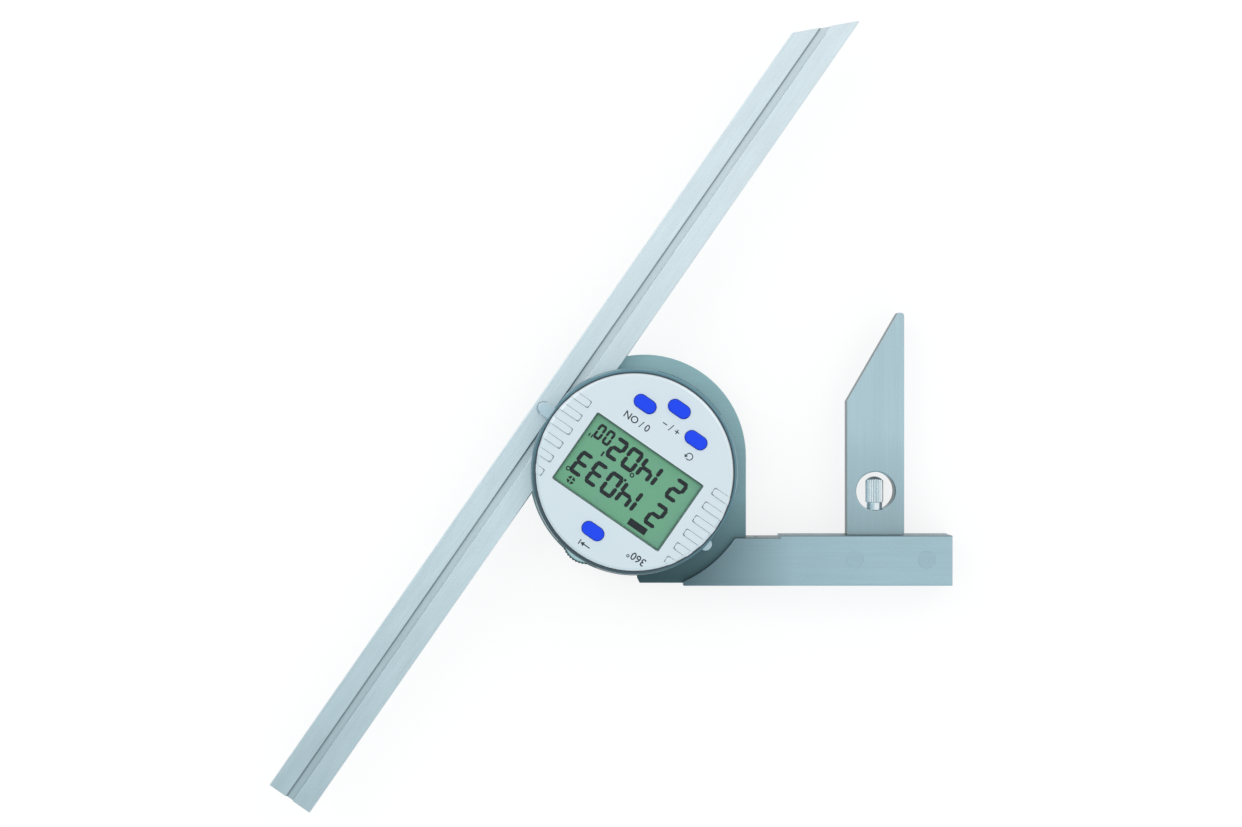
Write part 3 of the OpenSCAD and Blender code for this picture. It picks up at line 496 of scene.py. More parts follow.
def grown(name, points, attributes, group, inputs):
    """Runs a Geometry Nodes tree on a cloud of points and hands back the plain mesh."""
    cloud = bpy.data.meshes.new(name)
    cloud.from_pydata(points, [], [])
    for label, values in attributes.items():
        cloud.attributes.new(label, "FLOAT", "POINT").data.foreach_set("value", values)
    holder = link(name, cloud)
    modifier = holder.modifiers.new("Bars", "NODES")
    modifier.node_group = group
    for item in group.interface.items_tree:
        if item.item_type == "SOCKET" and item.in_out == "INPUT" and item.name in inputs:
            modifier[item.identifier] = inputs[item.name]
    mesh = meshed(holder)
    bpy.data.meshes.remove(cloud)
    return mesh


def flat_bars(name, bars, width, height, material, lean=0.0):
    """Bars as (x, y, turn in degrees, length), laid in the reading's plane by Geometry Nodes.

    Bars that lie along X stand a little higher, so that no two tops share a plane.
    """
    group = bpy.data.node_groups.get("Flat bars") or flat_bars_tree()
    rise = 0.3 * height
    unit = bars[0][3]
    points = [(x - lean * y, y, 0.0 if turn else rise) for x, y, turn, _ in bars]
    return grown(name, points, {
        "turn": [math.radians(turn) for _, _, turn, _ in bars],
        "stretch": [length / unit for _, _, _, length in bars],
    }, group, {"Length": unit, "Width": width, "Height": height, "Lean": lean,
               "Material": material})


# The display

# Each bar of a digit: its place across and up in half digits, and its turn
BARS = {"a": (0, 1, 0), "b": (1, 0.5, 90), "c": (1, -0.5, 90), "d": (0, -1, 0),
        "e": (-1, -0.5, 90), "f": (-1, 0.5, 90), "g": (0, 0, 0)}
LIT = {"0": "abcdef", "1": "bc", "2": "abdeg", "3": "abcdg", "4": "bcfg"}
# The bars that a top or bottom bar meets at its right and left ends
MEETS = {"a": "bf", "d": "ce"}
# How far such a bar runs on into each lit bar that it meets, as a share of its width
OVERLAP = 0.35

# The display's signs, in millimetres of the reading's plane: places of the degree rings, place
# of the quartered disc, and place, width and height of the flag, the dots and the strokes
DEGREE_SIGNS = ((17.3, 10.6), (0.1, 1.25))
DISC_SIGN = (14.6, 13.1)
BOX_SIGNS = ((-10.2, 13.2, 6.4, 2.2), (0.95, 3.7, 0.8, 0.8), (11.2, 1.0, 0.55, 1.7),
             (17.0, -1.6, 0.4, 1.1), (17.9, -1.6, 0.4, 1.1))


def digit_bars(text, start, row, pitch, width, height, stroke):
    """The lit bars of a row of digits."""
    bars = []
    across = (width - stroke) / 2
    up = (height - stroke) / 2
    for place, digit in enumerate(text):
        for bar in LIT[digit]:
            x, y, turn = BARS[bar]
            length = up if turn else 2 * across
            middle = start + place * pitch + x * across
            if bar in MEETS:
                right, left = (other in LIT[digit] for other in MEETS[bar])
                length += OVERLAP * stroke * (right + left)
                middle += OVERLAP / 2 * stroke * (right - left)
            bars.append((middle, row + y * up, turn, length))
    return bars


def on_circle(x, y, radius, angle):
    """The point of a circle at an angle."""
    return x + radius * math.cos(angle), y + radius * math.sin(angle)


def quartered_disc(x, y, radius, gap):
    """Outlines of a small disc cut in four by a cross."""
    outlines = []
    cut = math.asin(gap / 2 / radius)
    for quarter in range(4):
        turn = math.radians(90 * quarter)
        steps = [cut + (math.pi / 2 - 2 * cut) * i / 6 for i in range(7)]
        outlines.append([on_circle(x, y, gap / math.sqrt(2), turn + math.pi / 4)]
                        + [on_circle(x, y, radius, turn + step) for step in steps])
    return outlines


def ring_outlines(x, y, outer, inner, sides=20):
    """Outlines of the wedges that make up a small ring."""
    angles = [2 * math.pi * i / sides for i in range(sides + 1)]
    return [[on_circle(x, y, inner, a), on_circle(x, y, outer, a),
             on_circle(x, y, outer, b), on_circle(x, y, inner, b)]
            for a, b in zip(angles, angles[1:])]


def box_outline(x, y, width, height):
    """Outline of an upright box about its centre."""
    return [(x - width / 2, y - height / 2), (x + width / 2, y - height / 2),
            (x + width / 2, y + height / 2), (x - width / 2, y + height / 2)]


def rounded_outline(x, y, width, height, corner):
    """Outline of a box with rounded corners about its centre."""
    outline, steps = [], 6
    for quarter, (sx, sy) in enumerate(((1, 1), (-1, 1), (-1, -1), (1, -1))):
        for step in range(steps + 1):
            outline.append(on_circle(
                x + sx * (width / 2 - corner), y + sy * (height / 2 - corner), corner,
                math.pi / 2 * (quarter + step / steps)))
    return outline


def display_marks(material, sizes):
    """All that the display shows, as one thin mesh on the display's own face."""
    thick, stroke, pitch = sizes.mark_thickness, sizes.stroke, sizes.digit_pitch
    lower_height, small_stroke = sizes.digit_height * 0.94, stroke * 0.66
    small_start, small_row = sizes.lower_start + 4.75 * pitch, sizes.lower_row - 1.4 * MM
    small_pitch, small_width, small_height = 3.2 * MM, 2.6 * MM, 5.0 * MM
    rim, hole, disc, cross = 0.75 * MM, 0.38 * MM, 1.25 * MM, 0.4 * MM
    upper = digit_bars("214033", sizes.upper_start, sizes.upper_row, pitch,
                       sizes.digit_width, sizes.digit_height, stroke)
    lower = digit_bars("21402", sizes.lower_start, sizes.lower_row, pitch,
                       sizes.digit_width, lower_height, stroke)
    small = digit_bars("00", small_start, small_row, small_pitch, small_width, small_height,
                       small_stroke)
    bars = flat_bars("digits", upper + lower, stroke, thick, material, sizes.lean)
    seconds = flat_bars("seconds", small, small_stroke, thick, material, sizes.lean)
    outlines = []
    for x, y in DEGREE_SIGNS:
        outlines += ring_outlines(x * MM, y * MM, rim, hole)
    outlines += quartered_disc(DISC_SIGN[0] * MM, DISC_SIGN[1] * MM, disc, cross)
    outlines += [box_outline(*(size * MM for size in sign)) for sign in BOX_SIGNS]
    return joined("display_marks", [bars, seconds, prism("signs", outlines, thick)])


# The cover's words: their size over the letters', and their place in millimetres
WORDS = (("360°", 1.3, -15.4, 21.1), ("0 / ON", 1.2, 8.3, -13.3), ("+ / −", 1.2, -1.4, -17.6))


def arrow_outlines(x, y, size):
    """Outlines of an arrow that runs up to a bar, the usual mark for a set value."""
    head = [(x, y - size * 0.75), (x + size * 1.2, y), (x, y + size * 0.75)]
    return [head, box_outline(x - size * 1.1, y, size * 2.2, size * 0.36),
            box_outline(x + size * 1.5, y, size * 0.34, size * 1.7)]


def turning_outlines(x, y, radius):
    """Outlines of an open ring with an arrowhead, the usual mark for going on to the next."""
    wedges = ring_outlines(x, y, radius, radius * 0.74, 24)[4:]
    middle = x + radius * 0.87
    return wedges + [[(middle - radius * 0.55, y + radius * 0.05),
                      (middle + radius * 0.55, y + radius * 0.05),
                      (middle, y + radius * 0.85)]]


def cover_shadow_lines(material, sizes):
    """Painted shadow lines round each finger rib and round the window, as thin dark bars."""
    bars = []
    flat_edge = sizes.cover_radius - sizes.cover_edge
    for side in (1, -1):
        for place in range(sizes.rib_count):
            row = sizes.rib_middle + (place - (sizes.rib_count - 1) / 2) * sizes.rib_pitch
            half = sizes.rib_width / 2
            inner = sizes.cover_radius - sizes.rib_reach
            for edge in (half, -half):
                outer = min(math.sqrt(flat_edge ** 2 - (row + edge) ** 2),
                            sizes.cover_radius - sizes.side_flat)
                length = outer - inner
                if length > half:
                    bars.append((side * (inner + length / 2), row + edge, 0, length))
            bars.append((side * inner, row, 90, sizes.rib_width))
    wide, high = sizes.window_width + sizes.shadow_line_width, sizes.window_height + sizes.shadow_line_width
    for side in (1, -1):
        bars.append((0, sizes.rib_middle + side * high / 2, 0, wide + sizes.shadow_line_width))
        bars.append((side * wide / 2, sizes.rib_middle, 90, high + sizes.shadow_line_width))
    return flat_bars("cover_shadow_lines", bars, sizes.shadow_line_width, sizes.mark_thickness, material)


# Sizes and colours that a user would change

def length_prop(name, millimetres, note):
    """A length given in millimetres and kept in metres."""
    return bpy.props.FloatProperty(name=name, description=note, default=millimetres * MM,
                                   unit="LENGTH", precision=5)


def colour_prop(name, code, note):
    """A colour given by its screen code."""
    return bpy.props.FloatVectorProperty(name=name, description=note, default=linear(code),
                                         subtype="COLOR", min=0.0, max=1.0)


class ProtractorDisplay(bpy.types.PropertyGroup):
    """Sizes of what the display shows."""

    digit_height: length_prop("Digit height", 7.9, "Height of the upper row's digits")
    digit_width: length_prop("Digit width", 4.8, "Width of a digit")
    digit_pitch: length_prop("Digit pitch", 5.5, "Distance from digit to digit")
    stroke: length_prop("Bar width", 1.25, "Width of a digit's bars")
    upper_row: length_prop("Upper row", 7.2, "Height of the upper row's middle")
    upper_start: length_prop("Upper start", -12.9, "Middle of the upper row's first digit")
    lower_row: length_prop("Lower row", -2.65, "Height of the lower row's middle")
    lower_start: length_prop("Lower start", -13.7, "Middle of the lower row's first digit")
    mark_thickness: length_prop("Mark thickness", 0.02, "Thickness of a printed mark")
    film_thickness: length_prop("Film thickness", 0.05, "Thickness of the polariser film")
    lean: bpy.props.FloatProperty(
        name="Lean", description="How far a digit leans for each unit of its height",
        default=0.06, min=0.0, max=0.3)


class ProtractorPrint(bpy.types.PropertyGroup):
    """Sizes of the print and of the painted shadow lines on the cover."""

    letter_height: length_prop("Letter size", 2.6, "Size of the printed marks")
    cover_radius: length_prop("Cover radius", 30.2, "Radius of the silver cover")
    cover_edge: length_prop("Cover edge", 0.82, "Width of the cover's rounded edge")
    side_flat: length_prop("Side flat", 0.75, "Depth of the flats on the cover's sides")
    rib_reach: length_prop("Rib length", 7.25, "Length of a rib, in from the cover's edge")
    rib_width: length_prop("Rib width", 2.2, "Width of a finger rib")
    rib_pitch: length_prop("Rib pitch", 5.05, "Distance from rib to rib")
    rib_middle: length_prop("Ribs' middle", 3.6, "Height of the middle of a row of ribs")
    rib_height: length_prop("Rib height", 0.35, "How far the ribs stand out of the face")
    window_width: length_prop("Window width", 39.11, "Width of the window's opening")
    window_height: length_prop("Window height", 24.21, "Height of the window's opening")
    # The lines round the ribs and the window are painted shadow; the line round the cover is a dark
    # joint with painted shadow
    shadow_line_width: length_prop("Shadow line width", 0.2, "Width of the seam round a rib")
    rim_radius: length_prop("Rim radius", 30.72, "Outer radius of the cover's seam")
    rim_width: length_prop("Rim width", 0.36, "Width of the seam round the cover")
    mark_thickness: length_prop("Print thickness", 0.015, "Thickness of the print")
    rib_count: bpy.props.IntProperty(
        name="Ribs", description="Ribs on each side", default=6, min=2, max=8)


class ProtractorFinish(bpy.types.PropertyGroup):
    """Colours of the finishes, and where painted shade darkens the blade's groove."""

    blade: colour_prop("Blade", "dae7ec", "Ground steel of the blade")
    stock: colour_prop("Stock", "adc8d1", "Ground steel of the stock")
    attachment: colour_prop("Attachment", "b4ccd4", "Ground steel of the acute attachment")
    frame: colour_prop("Frame", "9abec3", "Darker steel of the frame")
    hook: colour_prop("Clamp pads", "c6dbe4", "Steel of the clamp's two pads")
    turned: colour_prop("Turned steel", "b4cbd2", "Turned screws, washers and knobs")
    wheel: colour_prop("Fine wheel", "c6e6e8", "Steel of the fine-feed wheel")
    screw: colour_prop("Thumb screw", "e6eef1", "Bright steel of the attachment's screw")
    housing: colour_prop("Housing", "538796", "Blue-grey body of the head")
    cover: colour_prop("Cover", "e2eff5", "Silver face of the head")
    buttons: colour_prop("Buttons", "214dff", "Blue buttons")
    screen: colour_prop("Display", "71b88d", "Green-grey of the display")
    marks: colour_prop("Display marks", "0c161d", "Dark of the display's digits")
    print_ink: colour_prop("Print", "2c363e", "Dark of the printed marks")
    groove_wall: length_prop("Groove wall", 31.15, "From the dial to the groove's far wall")
    groove_depth: length_prop("Groove depth", 1.0, "Depth of the blade's groove")


class ProtractorStudio(bpy.types.PropertyGroup):
    """The stage, the lamps and the camera."""

    camera_place: bpy.props.FloatVectorProperty(
        name="Camera place", description="Where the photograph was taken from",
        default=(-4.15 * MM, 17.9 * MM, 637 * MM), subtype="TRANSLATION", unit="LENGTH")
    focal_length: bpy.props.FloatProperty(
        name="Focal length", description="Focal length in millimetres on a 36 mm sensor",
        default=57.7, min=20.0, max=200.0)
    lamp_power: bpy.props.FloatProperty(
        name="Lamp power", description="Power of the main lamp in watts", default=3.0, min=0.0)
    sky: bpy.props.FloatProperty(
        name="Sky", description="Strength of the light from all round", default=0.76, min=0.0)
    floor: colour_prop("Floor", "f4f6f7", "Pale floor")


# Materials of one piece only

def lens_material(name):
    """Clear acrylic, thin enough to see through straight, with a few faint rubbed places."""
    material, tree, shader, place = new_material(
        name, Base_Color=(0.03, 0.045, 0.04, 1.0), Alpha=0.05, IOR=1.45, Specular_IOR_Level=0.25)
    clouds = effect(tree, "Handling", place, Size=12 * MM)
    tree.dress(shader, Roughness=tree.between(clouds["Cloud"], 0.03, 0.1))
    return material


def screen_material(name, colour, sizes):
    """The display's green-grey sheet, greyer at one end, darker under the window's edges as painted
    shadow.
    """
    greyer_end, shadow_reach = 7 * MM, 0.8 * MM
    material, tree, shader, place = new_material(name)
    clouds = effect(tree, "Handling", place, Size=16 * MM)
    grains = effect(tree, "Grains", place, Grain=0.2 * MM)
    grey = (colour[0] * 1.12, colour[1] * 0.88, colour[2] * 1.18, 1.0)
    base = tree.blend(tree.times(clouds["Cloud"], 0.7), shade(colour, 1.0), grey)
    across, up = tree.add("ShaderNodeSeparateXYZ", {
        0: turned_place(tree, place, READING_TURN, UP * sizes.rib_middle)}).outputs[:2]
    half_width, half_height = sizes.window_width / 2, sizes.window_height / 2
    base = tree.blend(tree.between(across, 0.6, 0.0, -half_width, greyer_end - half_width),
                      base, grey)
    base = tree.blend(tree.times(grains["Grains"], 0.12), base, shade(colour, 1.3))
    shadow = tree.maths("MAXIMUM", *(
        tree.between(tree.maths("ABSOLUTE", way), 0.0, 0.75, half - shadow_reach, half)
        for way, half in ((across, half_width), (up, half_height))))
    base = tree.blend(shadow, base, shade(colour, 0.2))
    tree.dress(shader, Base_Color=base, Roughness=tree.between(clouds["Cloud"], 0.32, 0.42))
    return material


def ink_material(name, colour):
    """Printed ink, a little uneven."""
    material, tree, shader, place = new_material(name, Roughness=0.5)
    grains = effect(tree, "Grains", place, Grain=0.12 * MM)
    tree.dress(shader, Base_Color=tree.blend(grains["Grains"], shade(colour, 0.85),
                                             shade(colour, 1.2)))
    return material


def encoder_material(name, colour, stripes):
    """Board with a ring of fine metal stripes, as a capacitive angle sensor has."""
    inner, outer = 12.5 * MM, 16.2 * MM
    material, tree, shader, place = new_material(name)
    turn, away = polar(tree, place)[:2]
    wave = tree.maths("SINE", tree.times(turn, stripes))
    ring = tree.times(tree.maths("GREATER_THAN", away, inner),
                      tree.maths("LESS_THAN", away, outer))
    lines = tree.times(tree.maths("GREATER_THAN", wave, 0.0), ring)
    tree.dress(shader, Metallic=lines, Roughness=tree.between(lines, 0.5, 0.3),
               Base_Color=tree.blend(lines, shade(colour, 1.0), shade(linear("d9b45a"), 1.0)))
    return material


def board_material(name, colour):
    """Solder-masked board with faint copper lines under the mask."""
    material, tree, shader, place = new_material(name, Roughness=0.4, Coat_Weight=0.3)
    lanes = tree.add("ShaderNodeTexBrick", {
        "Vector": turned_place(tree, place, READING_TURN), "Scale": 260.0, "Mortar Size": 0.12,
        "Color1": shade(colour, 0.85), "Color2": shade(colour, 1.0),
        "Mortar": shade(colour, 1.7)})
    tree.dress(shader, Base_Color=lanes.outputs["Color"])
    return material


def floor_material(name, colour):
    """Pale floor that the camera and reflections see as white, with the object's shadow kept."""
    material, tree, shader, place = new_material(name, Roughness=0.9)
    grains = effect(tree, "Grains", place, Grain=2 * MM)
    tree.dress(shader, Base_Color=tree.blend(grains["Grains"], shade(colour, 0.985),
                                             shade(colour, 1.0)))
    glow = tree.add("ShaderNodeEmission", {"Color": (1, 1, 1, 1), "Strength": 1.1})
    path = tree.add("ShaderNodeLightPath").outputs
    seen = tree.maths("MAXIMUM", path["Is Camera Ray"],
                      tree.maths("MAXIMUM", path["Is Glossy Ray"], path["Is Transmission Ray"]))
    mix = tree.add("ShaderNodeMixShader", {
        0: tree.times(seen, 0.7), 1: shader.outputs[0], 2: glow.outputs[0]})
    tree.feed(material.node_tree.nodes["Material Output"].inputs["Surface"], mix.outputs[0])
    return material


# Operators: one for each group of like pieces, and one for the stage

# Each lamp: its name, its place and size in metres, and its share of the main lamp's power
LAMPS = (("main_lamp", (-0.9, 0.7, 1.1), 0.9, 1.0), ("side_lamp", (1.0, 0.9, 0.9), 0.8, 0.7),
         ("low_lamp", (0.1, -1.2, 0.8), 0.8, 0.35))


class PROTRACTOR_OT_bars(bpy.types.Operator):
    """Finishes the blade, stock, frame and attachment as ground steel."""

    bl_idname = "protractor.bars"
    bl_label = "Finish the steel bars"

    def execute(self, context):
        finish = context.scene.protractor_finish
        along_blade = math.atan2(BLADE_WAY.y, BLADE_WAY.x)
        along_attachment = math.pi / 2
        # Painted shade: a dark line at the groove's far wall, a darker groove floor, and the blade
        # darker towards its lower end
        groove = [(ALONG, finish.groove_wall, 0.38 * MM, 0.7),
                  (OUT, top_of("blade") - finish.groove_depth, 0.6 * MM, 0.12),
                  (-BLADE_WAY, reach_of("blade", -BLADE_WAY), 110 * MM, 0.2)]
        finish_node("blade", ground_steel("blade_steel", finish.blade, along_blade, 0.1, 0.4,
                                          12 * MM, 0.3 * MM, shade_bands=groove))
        # Painted shade: the stock darker towards the head, and its faces that look back darker
        shade_by_head = [(RIGHT, 12 * MM, 38 * MM, 0.85), (RIGHT, 30 * MM, 50 * MM, 0.12)]
        finish_node("stock", ground_steel("stock_steel", finish.stock, 0.0, 0.11,
                                          width=0.3 * MM, shade_bands=shade_by_head, shaded_side=(BACK, 0.75)))
        finish_node("stock_pins", ground_steel("pin_steel", shade(finish.stock, 0.94), 0.0, 0.08))
        # Painted shade: the frame darker towards its low end by the stock
        shade_at_low_end = [(BACK, -34 * MM, 26 * MM, 0.8), (BACK, -36 * MM, 66 * MM, 0.4)]
        finish_node("base_frame", ground_steel("frame_steel", finish.frame, 0.0, 0.13, 0.42,
                                               shade_bands=shade_at_low_end))
        # Painted shade: the attachment darker towards its low side, and its faces that look left
        # darker
        finish_node("acute_attachment", ground_steel(
            "attachment_steel", finish.attachment, along_attachment, 0.1, width=0.3 * MM,
            shade_bands=[(BACK, -22 * MM, 34 * MM, 0.3)], shaded_side=(-RIGHT, 0.8)))
        return {"FINISHED"}


class PROTRACTOR_OT_turned_parts(bpy.types.Operator):
    """Finishes the knobs, screws, pads, wheel and the parts of the bearing."""

    bl_idname = "protractor.turned_parts"
    bl_label = "Finish the turned parts"

    def execute(self, context):
        finish = context.scene.protractor_finish
        steel = finish.turned
        for name in ("clamp_knob", "lock_knob", "thrust_washer", "retaining_nut", "turntable",
                     "feed_gear"):
            finish_node(name, turned_steel(name + "_steel", steel, middle_of(name)))
        wheel = middle_of("fine_wheel")
        # Painted shade: a dark band round the rim of the fine wheel's top
        rim = reach_of("fine_wheel", RIGHT) - wheel.x - 0.2 * MM
        finish_node("fine_wheel", turned_steel("wheel_steel", finish.wheel, wheel,
                                               shade_bands=[(BACK, rim, 0.75 * MM, 1.6)]))
        # Painted shade: the thumb screw's crown is darkened
        crown = reach_of("attachment_screw", BACK) + 0.4 * MM
        finish_node("attachment_screw", turned_steel(
            "screw_steel", finish.screw, roughness=0.25, ringed=False,
            shade_bands=[(BACK, crown, 1.5 * MM, 1.0)]))
        finish_node("slide_nut", ground_steel("nut_steel", steel, 0.0))
        for name in ("blade_hook", "lock_pad"):
            # Painted shade: the pads' sides just under their tops are darkened, as a dark outline
            shade_under_top = [(OUT, top_of(name) - 0.62 * MM, 0.6 * MM, 0.95)]
            finish_node(name, ground_steel(name + "_steel", finish.hook, READING_TURN, 0.04, 0.3,
                                           shade_bands=shade_under_top))
        finish_node("stock_grub_screw", turned_steel(
            "black_screw", linear("2b3439"), middle_of("stock_grub_screw"), 0.45))
        finish_node("bearing_bush", turned_steel(
            "bush_bronze", linear("a98a55"), middle_of("bearing_bush"), 0.4))
        return {"FINISHED"}


class PROTRACTOR_OT_head(bpy.types.Operator):
    """Finishes the housing, the silver cover, the buttons and the battery drawer."""

    bl_idname = "protractor.head"
    bl_label = "Finish the reading head"

    def execute(self, context):
        finish = context.scene.protractor_finish
        # Painted shade: the housing darker towards its side over the fine wheel
        shade_by_wheel = [(UP, 34 * MM, 36 * MM, 0.9)]
        finish_node("housing", moulded("housing_paint", finish.housing, 0.36, 0.3 * MM, 0.1,
                                       0.35, 0.25, 0.4, shade_bands=shade_by_wheel))
        finish_node("battery_drawer", moulded("drawer_plastic", shade(finish.housing, 0.85), 0.5))
        finish_node("top_cover", moulded("cover_silver", finish.cover, 0.42, 0.2 * MM, 0.12,
                                         0.35, 0.15, 0.25))
        for name in ("button_preset", "button_zero", "button_sign", "button_mode"):
            finish_node(name, moulded(name + "_rubber", finish.buttons, 0.45, 0.2 * MM, 0.08,
                                      edge=0.12, specular=0.15))
        finish_node("cover_screws", turned_steel("cover_screw_steel", finish.turned))
        return {"FINISHED"}


class PROTRACTOR_OT_insides(bpy.types.Operator):
    """Finishes the board, switches, cable, battery and angle sensor."""

    bl_idname = "protractor.insides"
    bl_label = "Finish the inside"

    def execute(self, context):
        green = linear("1f6b45")
        finish_node("circuit_board", board_material("board_green", green))
        finish_node("encoder_stator", encoder_material("stator_board", green, 96.0))
        finish_node("encoder_rotor", encoder_material("rotor_board", green, 48.0))
        finish_node("switches", turned_steel("switch_domes", linear("c9a75a"), ringed=False))
        finish_node("display_strips", moulded("strip_rubber", linear("c98a97"), 0.6))
        finish_node("flex_cable", moulded("flex_film", linear("c08434"), 0.35))
        finish_node("battery_contact", turned_steel(
            "contact_spring", linear("d9c27a"), ringed=False))
        finish_node("battery", turned_steel("coin_cell", linear("b9c0c4"), middle_of("battery")))
        return {"FINISHED"}


class PROTRACTOR_OT_display(bpy.types.Operator):
    """Finishes the window and the display, and lays the digits on it."""

    bl_idname = "protractor.display"
    bl_label = "Make the display"

    def execute(self, context):
        scene = context.scene
        margin, corner, air = 0.3 * MM, 0.3 * MM, 0.005 * MM
        finish_node("lcd_lens", lens_material("lens_clear"))
        window = scene.protractor_print
        sheet = screen_material("display_sheet", scene.protractor_finish.screen, window)
        finish_node("lcd_panel", sheet)
        thick = scene.protractor_display.film_thickness
        film = prism("display_film", [rounded_outline(
            0.0, window.rib_middle, window.window_width - margin,
            window.window_height - margin, corner)], thick)
        glass = top_of("lcd_panel") + air
        lay("display_film", film, glass, "head", sheet)
        ink = ink_material("display_ink", scene.protractor_finish.marks)
        marks = display_marks(ink, scene.protractor_display)
        lay("display_marks", marks, glass + thick, "head", ink)
        return {"FINISHED"}


class PROTRACTOR_OT_print(bpy.types.Operator):
    """Prints plain numbers and signs beside the buttons, draws painted shadow lines round the ribs
    and the window, and a dark joint line with painted shadow round the cover.
    """

    bl_idname = "protractor.print"
    bl_label = "Print the cover"

    def execute(self, context):
        scene = context.scene
        sizes = scene.protractor_print
        face = top_of("top_cover") - sizes.rib_height
        ink = ink_material("print_ink", scene.protractor_finish.print_ink)
        thick = sizes.mark_thickness
        words = [lettering(text, sizes.letter_height * share, (x * MM, y * MM), thick)
                 for text, share, x, y in WORDS]
        signs = prism("signs", turning_outlines(-11.0 * MM, -13.4 * MM, 1.2 * MM)
                      + arrow_outlines(0.2 * MM, 26.9 * MM, 1.0 * MM), thick)
        marks = joined("printed_marks", words + [signs])
        lay("printed_marks", marks, face, "head", ink)
        # Painted shadow: dark lines round the ribs and the window, and a dark joint line with
        # painted shadow round the cover
        shadow_line_ink = ink_material("seam_shadow", linear("43525c"))
        shadow_lines = cover_shadow_lines(shadow_line_ink, sizes)
        lay("cover_shadow_lines", shadow_lines, face, "head", shadow_line_ink)
        rim = cleaned(prism("rim_joint_and_shadow", ring_outlines(
            0.0, 0.0, sizes.rim_radius, sizes.rim_radius - sizes.rim_width, 120), thick))
        lay("rim_joint_and_shadow", rim, top_of("housing"), "head", shadow_line_ink)
        return {"FINISHED"}


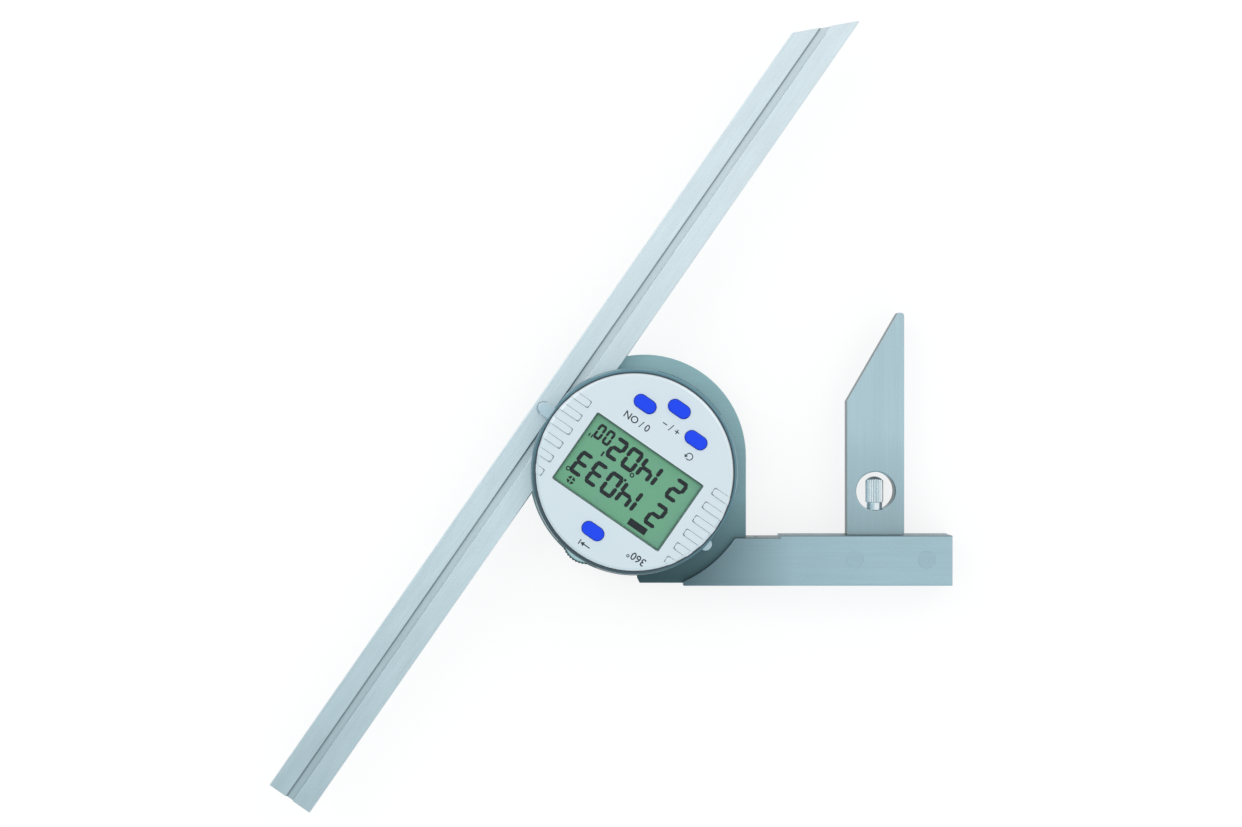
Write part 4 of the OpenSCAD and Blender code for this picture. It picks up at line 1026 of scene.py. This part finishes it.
class PROTRACTOR_OT_stage(bpy.types.Operator):
    """Lays the pale floor, hangs the soft lamps and sets the camera."""

    bl_idname = "protractor.stage"
    bl_label = "Set the stage"

    def execute(self, context):
        studio = context.scene.protractor_studio
        self.lay_floor(studio)
        self.light_sky(studio)
        for name, place, size, share in LAMPS:
            self.hang_lamp(name, place, size, studio.lamp_power * share)
        self.set_camera(studio)
        return {"FINISHED"}

    def lay_floor(self, studio):
        """A pale sheet with its far edges turned up out of sight."""
        half_span, flat_radius, curl, drop, steps = 3.0, 2.0, 0.15, 0.05 * MM, 24
        mesh = bpy.data.meshes.new("floor")
        places = [half_span * (2 * i / steps - 1) for i in range(steps + 1)]
        corners = [(x, y, curl * max(0.0, math.hypot(x, y) - flat_radius) ** 2 - drop)
                   for y in places for x in places]
        row = steps + 1
        faces = [(j * row + i, j * row + i + 1, (j + 1) * row + i + 1, (j + 1) * row + i)
                 for j in range(steps) for i in range(steps)]
        mesh.from_pydata(corners, [], faces)
        mesh.materials.append(floor_material("pale_floor", studio.floor))
        link("floor", mesh)

    def light_sky(self, studio):
        """An even sky, white where it is seen and reflected, brighter towards the upper right."""
        world = bpy.data.worlds.new("studio_sky")
        bpy.context.scene.world = world
        world.use_nodes = True
        tree = Tree(world.node_tree)
        sky = world.node_tree.nodes["Background"]
        path = tree.add("ShaderNodeLightPath").outputs
        way = tree.add("ShaderNodeTexCoord").outputs["Generated"]
        low, high, white = (0.36, 0.56, 0.63, 1.0), (0.99, 0.995, 1.0, 1.0), (1.0, 1.0, 1.0, 1.0)
        lean = tree.vectors("DOT_PRODUCT", way, BLADE_WAY)
        tint = tree.blend(tree.between(lean, 0.0, 1.0, -0.26, 0.0), low, high)
        seen = tree.maths("MAXIMUM", path["Is Camera Ray"], path["Is Transmission Ray"])
        bright = tree.maths("MAXIMUM", seen, path["Is Glossy Ray"])
        tree.feed(sky.inputs["Color"], tree.blend(path["Is Glossy Ray"], white, tint))
        tree.feed(sky.inputs["Strength"], tree.between(bright, studio.sky, 1.0))

    def hang_lamp(self, name, place, size, power):
        """A square soft lamp that looks at the middle of the object."""
        data = bpy.data.lights.new(name, "AREA")
        data.shape = "SQUARE"
        data.size = size
        data.energy = power
        lamp = link(name, data)
        lamp.location = place
        lamp.rotation_euler = (-Vector(place)).to_track_quat("-Z", "Y").to_euler()

    def set_camera(self, studio):
        """Looks straight down on the display, from where the photograph was taken."""
        data = bpy.data.cameras.new("photograph")
        data.sensor_width = 36.0
        data.lens = studio.focal_length
        data.clip_start = 0.01
        camera = link("photograph", data)
        camera.location = studio.camera_place
        scene = bpy.context.scene
        scene.camera = camera
        scene.view_settings.view_transform = "Standard"


PIECES = (PROTRACTOR_OT_bars, PROTRACTOR_OT_turned_parts, PROTRACTOR_OT_head,
          PROTRACTOR_OT_insides, PROTRACTOR_OT_display, PROTRACTOR_OT_print,
          PROTRACTOR_OT_stage)
SETTINGS = {"protractor_display": ProtractorDisplay, "protractor_print": ProtractorPrint,
            "protractor_finish": ProtractorFinish, "protractor_studio": ProtractorStudio}


class PROTRACTOR_PT_sidebar(bpy.types.Panel):
    """Lists the steps and their settings in the 3D view's sidebar."""

    bl_idname = "PROTRACTOR_PT_sidebar"
    bl_label = "Protractor"
    bl_space_type = "VIEW_3D"
    bl_region_type = "UI"
    bl_category = "Protractor"

    def draw(self, context):
        for step in PIECES:
            self.layout.operator(step.bl_idname)
        for name, group in SETTINGS.items():
            box = self.layout.box()
            for label in group.__annotations__:
                box.prop(getattr(context.scene, name), label)


def register():
    """Makes the settings, the steps and the panel known to Blender."""
    for group in SETTINGS.values():
        bpy.utils.register_class(group)
    for name, group in SETTINGS.items():
        setattr(bpy.types.Scene, name, bpy.props.PointerProperty(type=group))
    for step in PIECES + (PROTRACTOR_PT_sidebar,):
        bpy.utils.register_class(step)


def unregister():
    """Takes away what register added."""
    for step in (PROTRACTOR_PT_sidebar,) + PIECES[::-1]:
        bpy.utils.unregister_class(step)
    for name, group in SETTINGS.items():
        delattr(bpy.types.Scene, name)
        bpy.utils.unregister_class(group)


def main():
    """Runs every step in order."""
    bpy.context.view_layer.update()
    register()
    bpy.ops.protractor.bars()
    bpy.ops.protractor.turned_parts()
    bpy.ops.protractor.head()
    bpy.ops.protractor.insides()
    bpy.ops.protractor.display()
    bpy.ops.protractor.print()
    bpy.ops.protractor.stage()


if __name__ == "__main__":
    main()
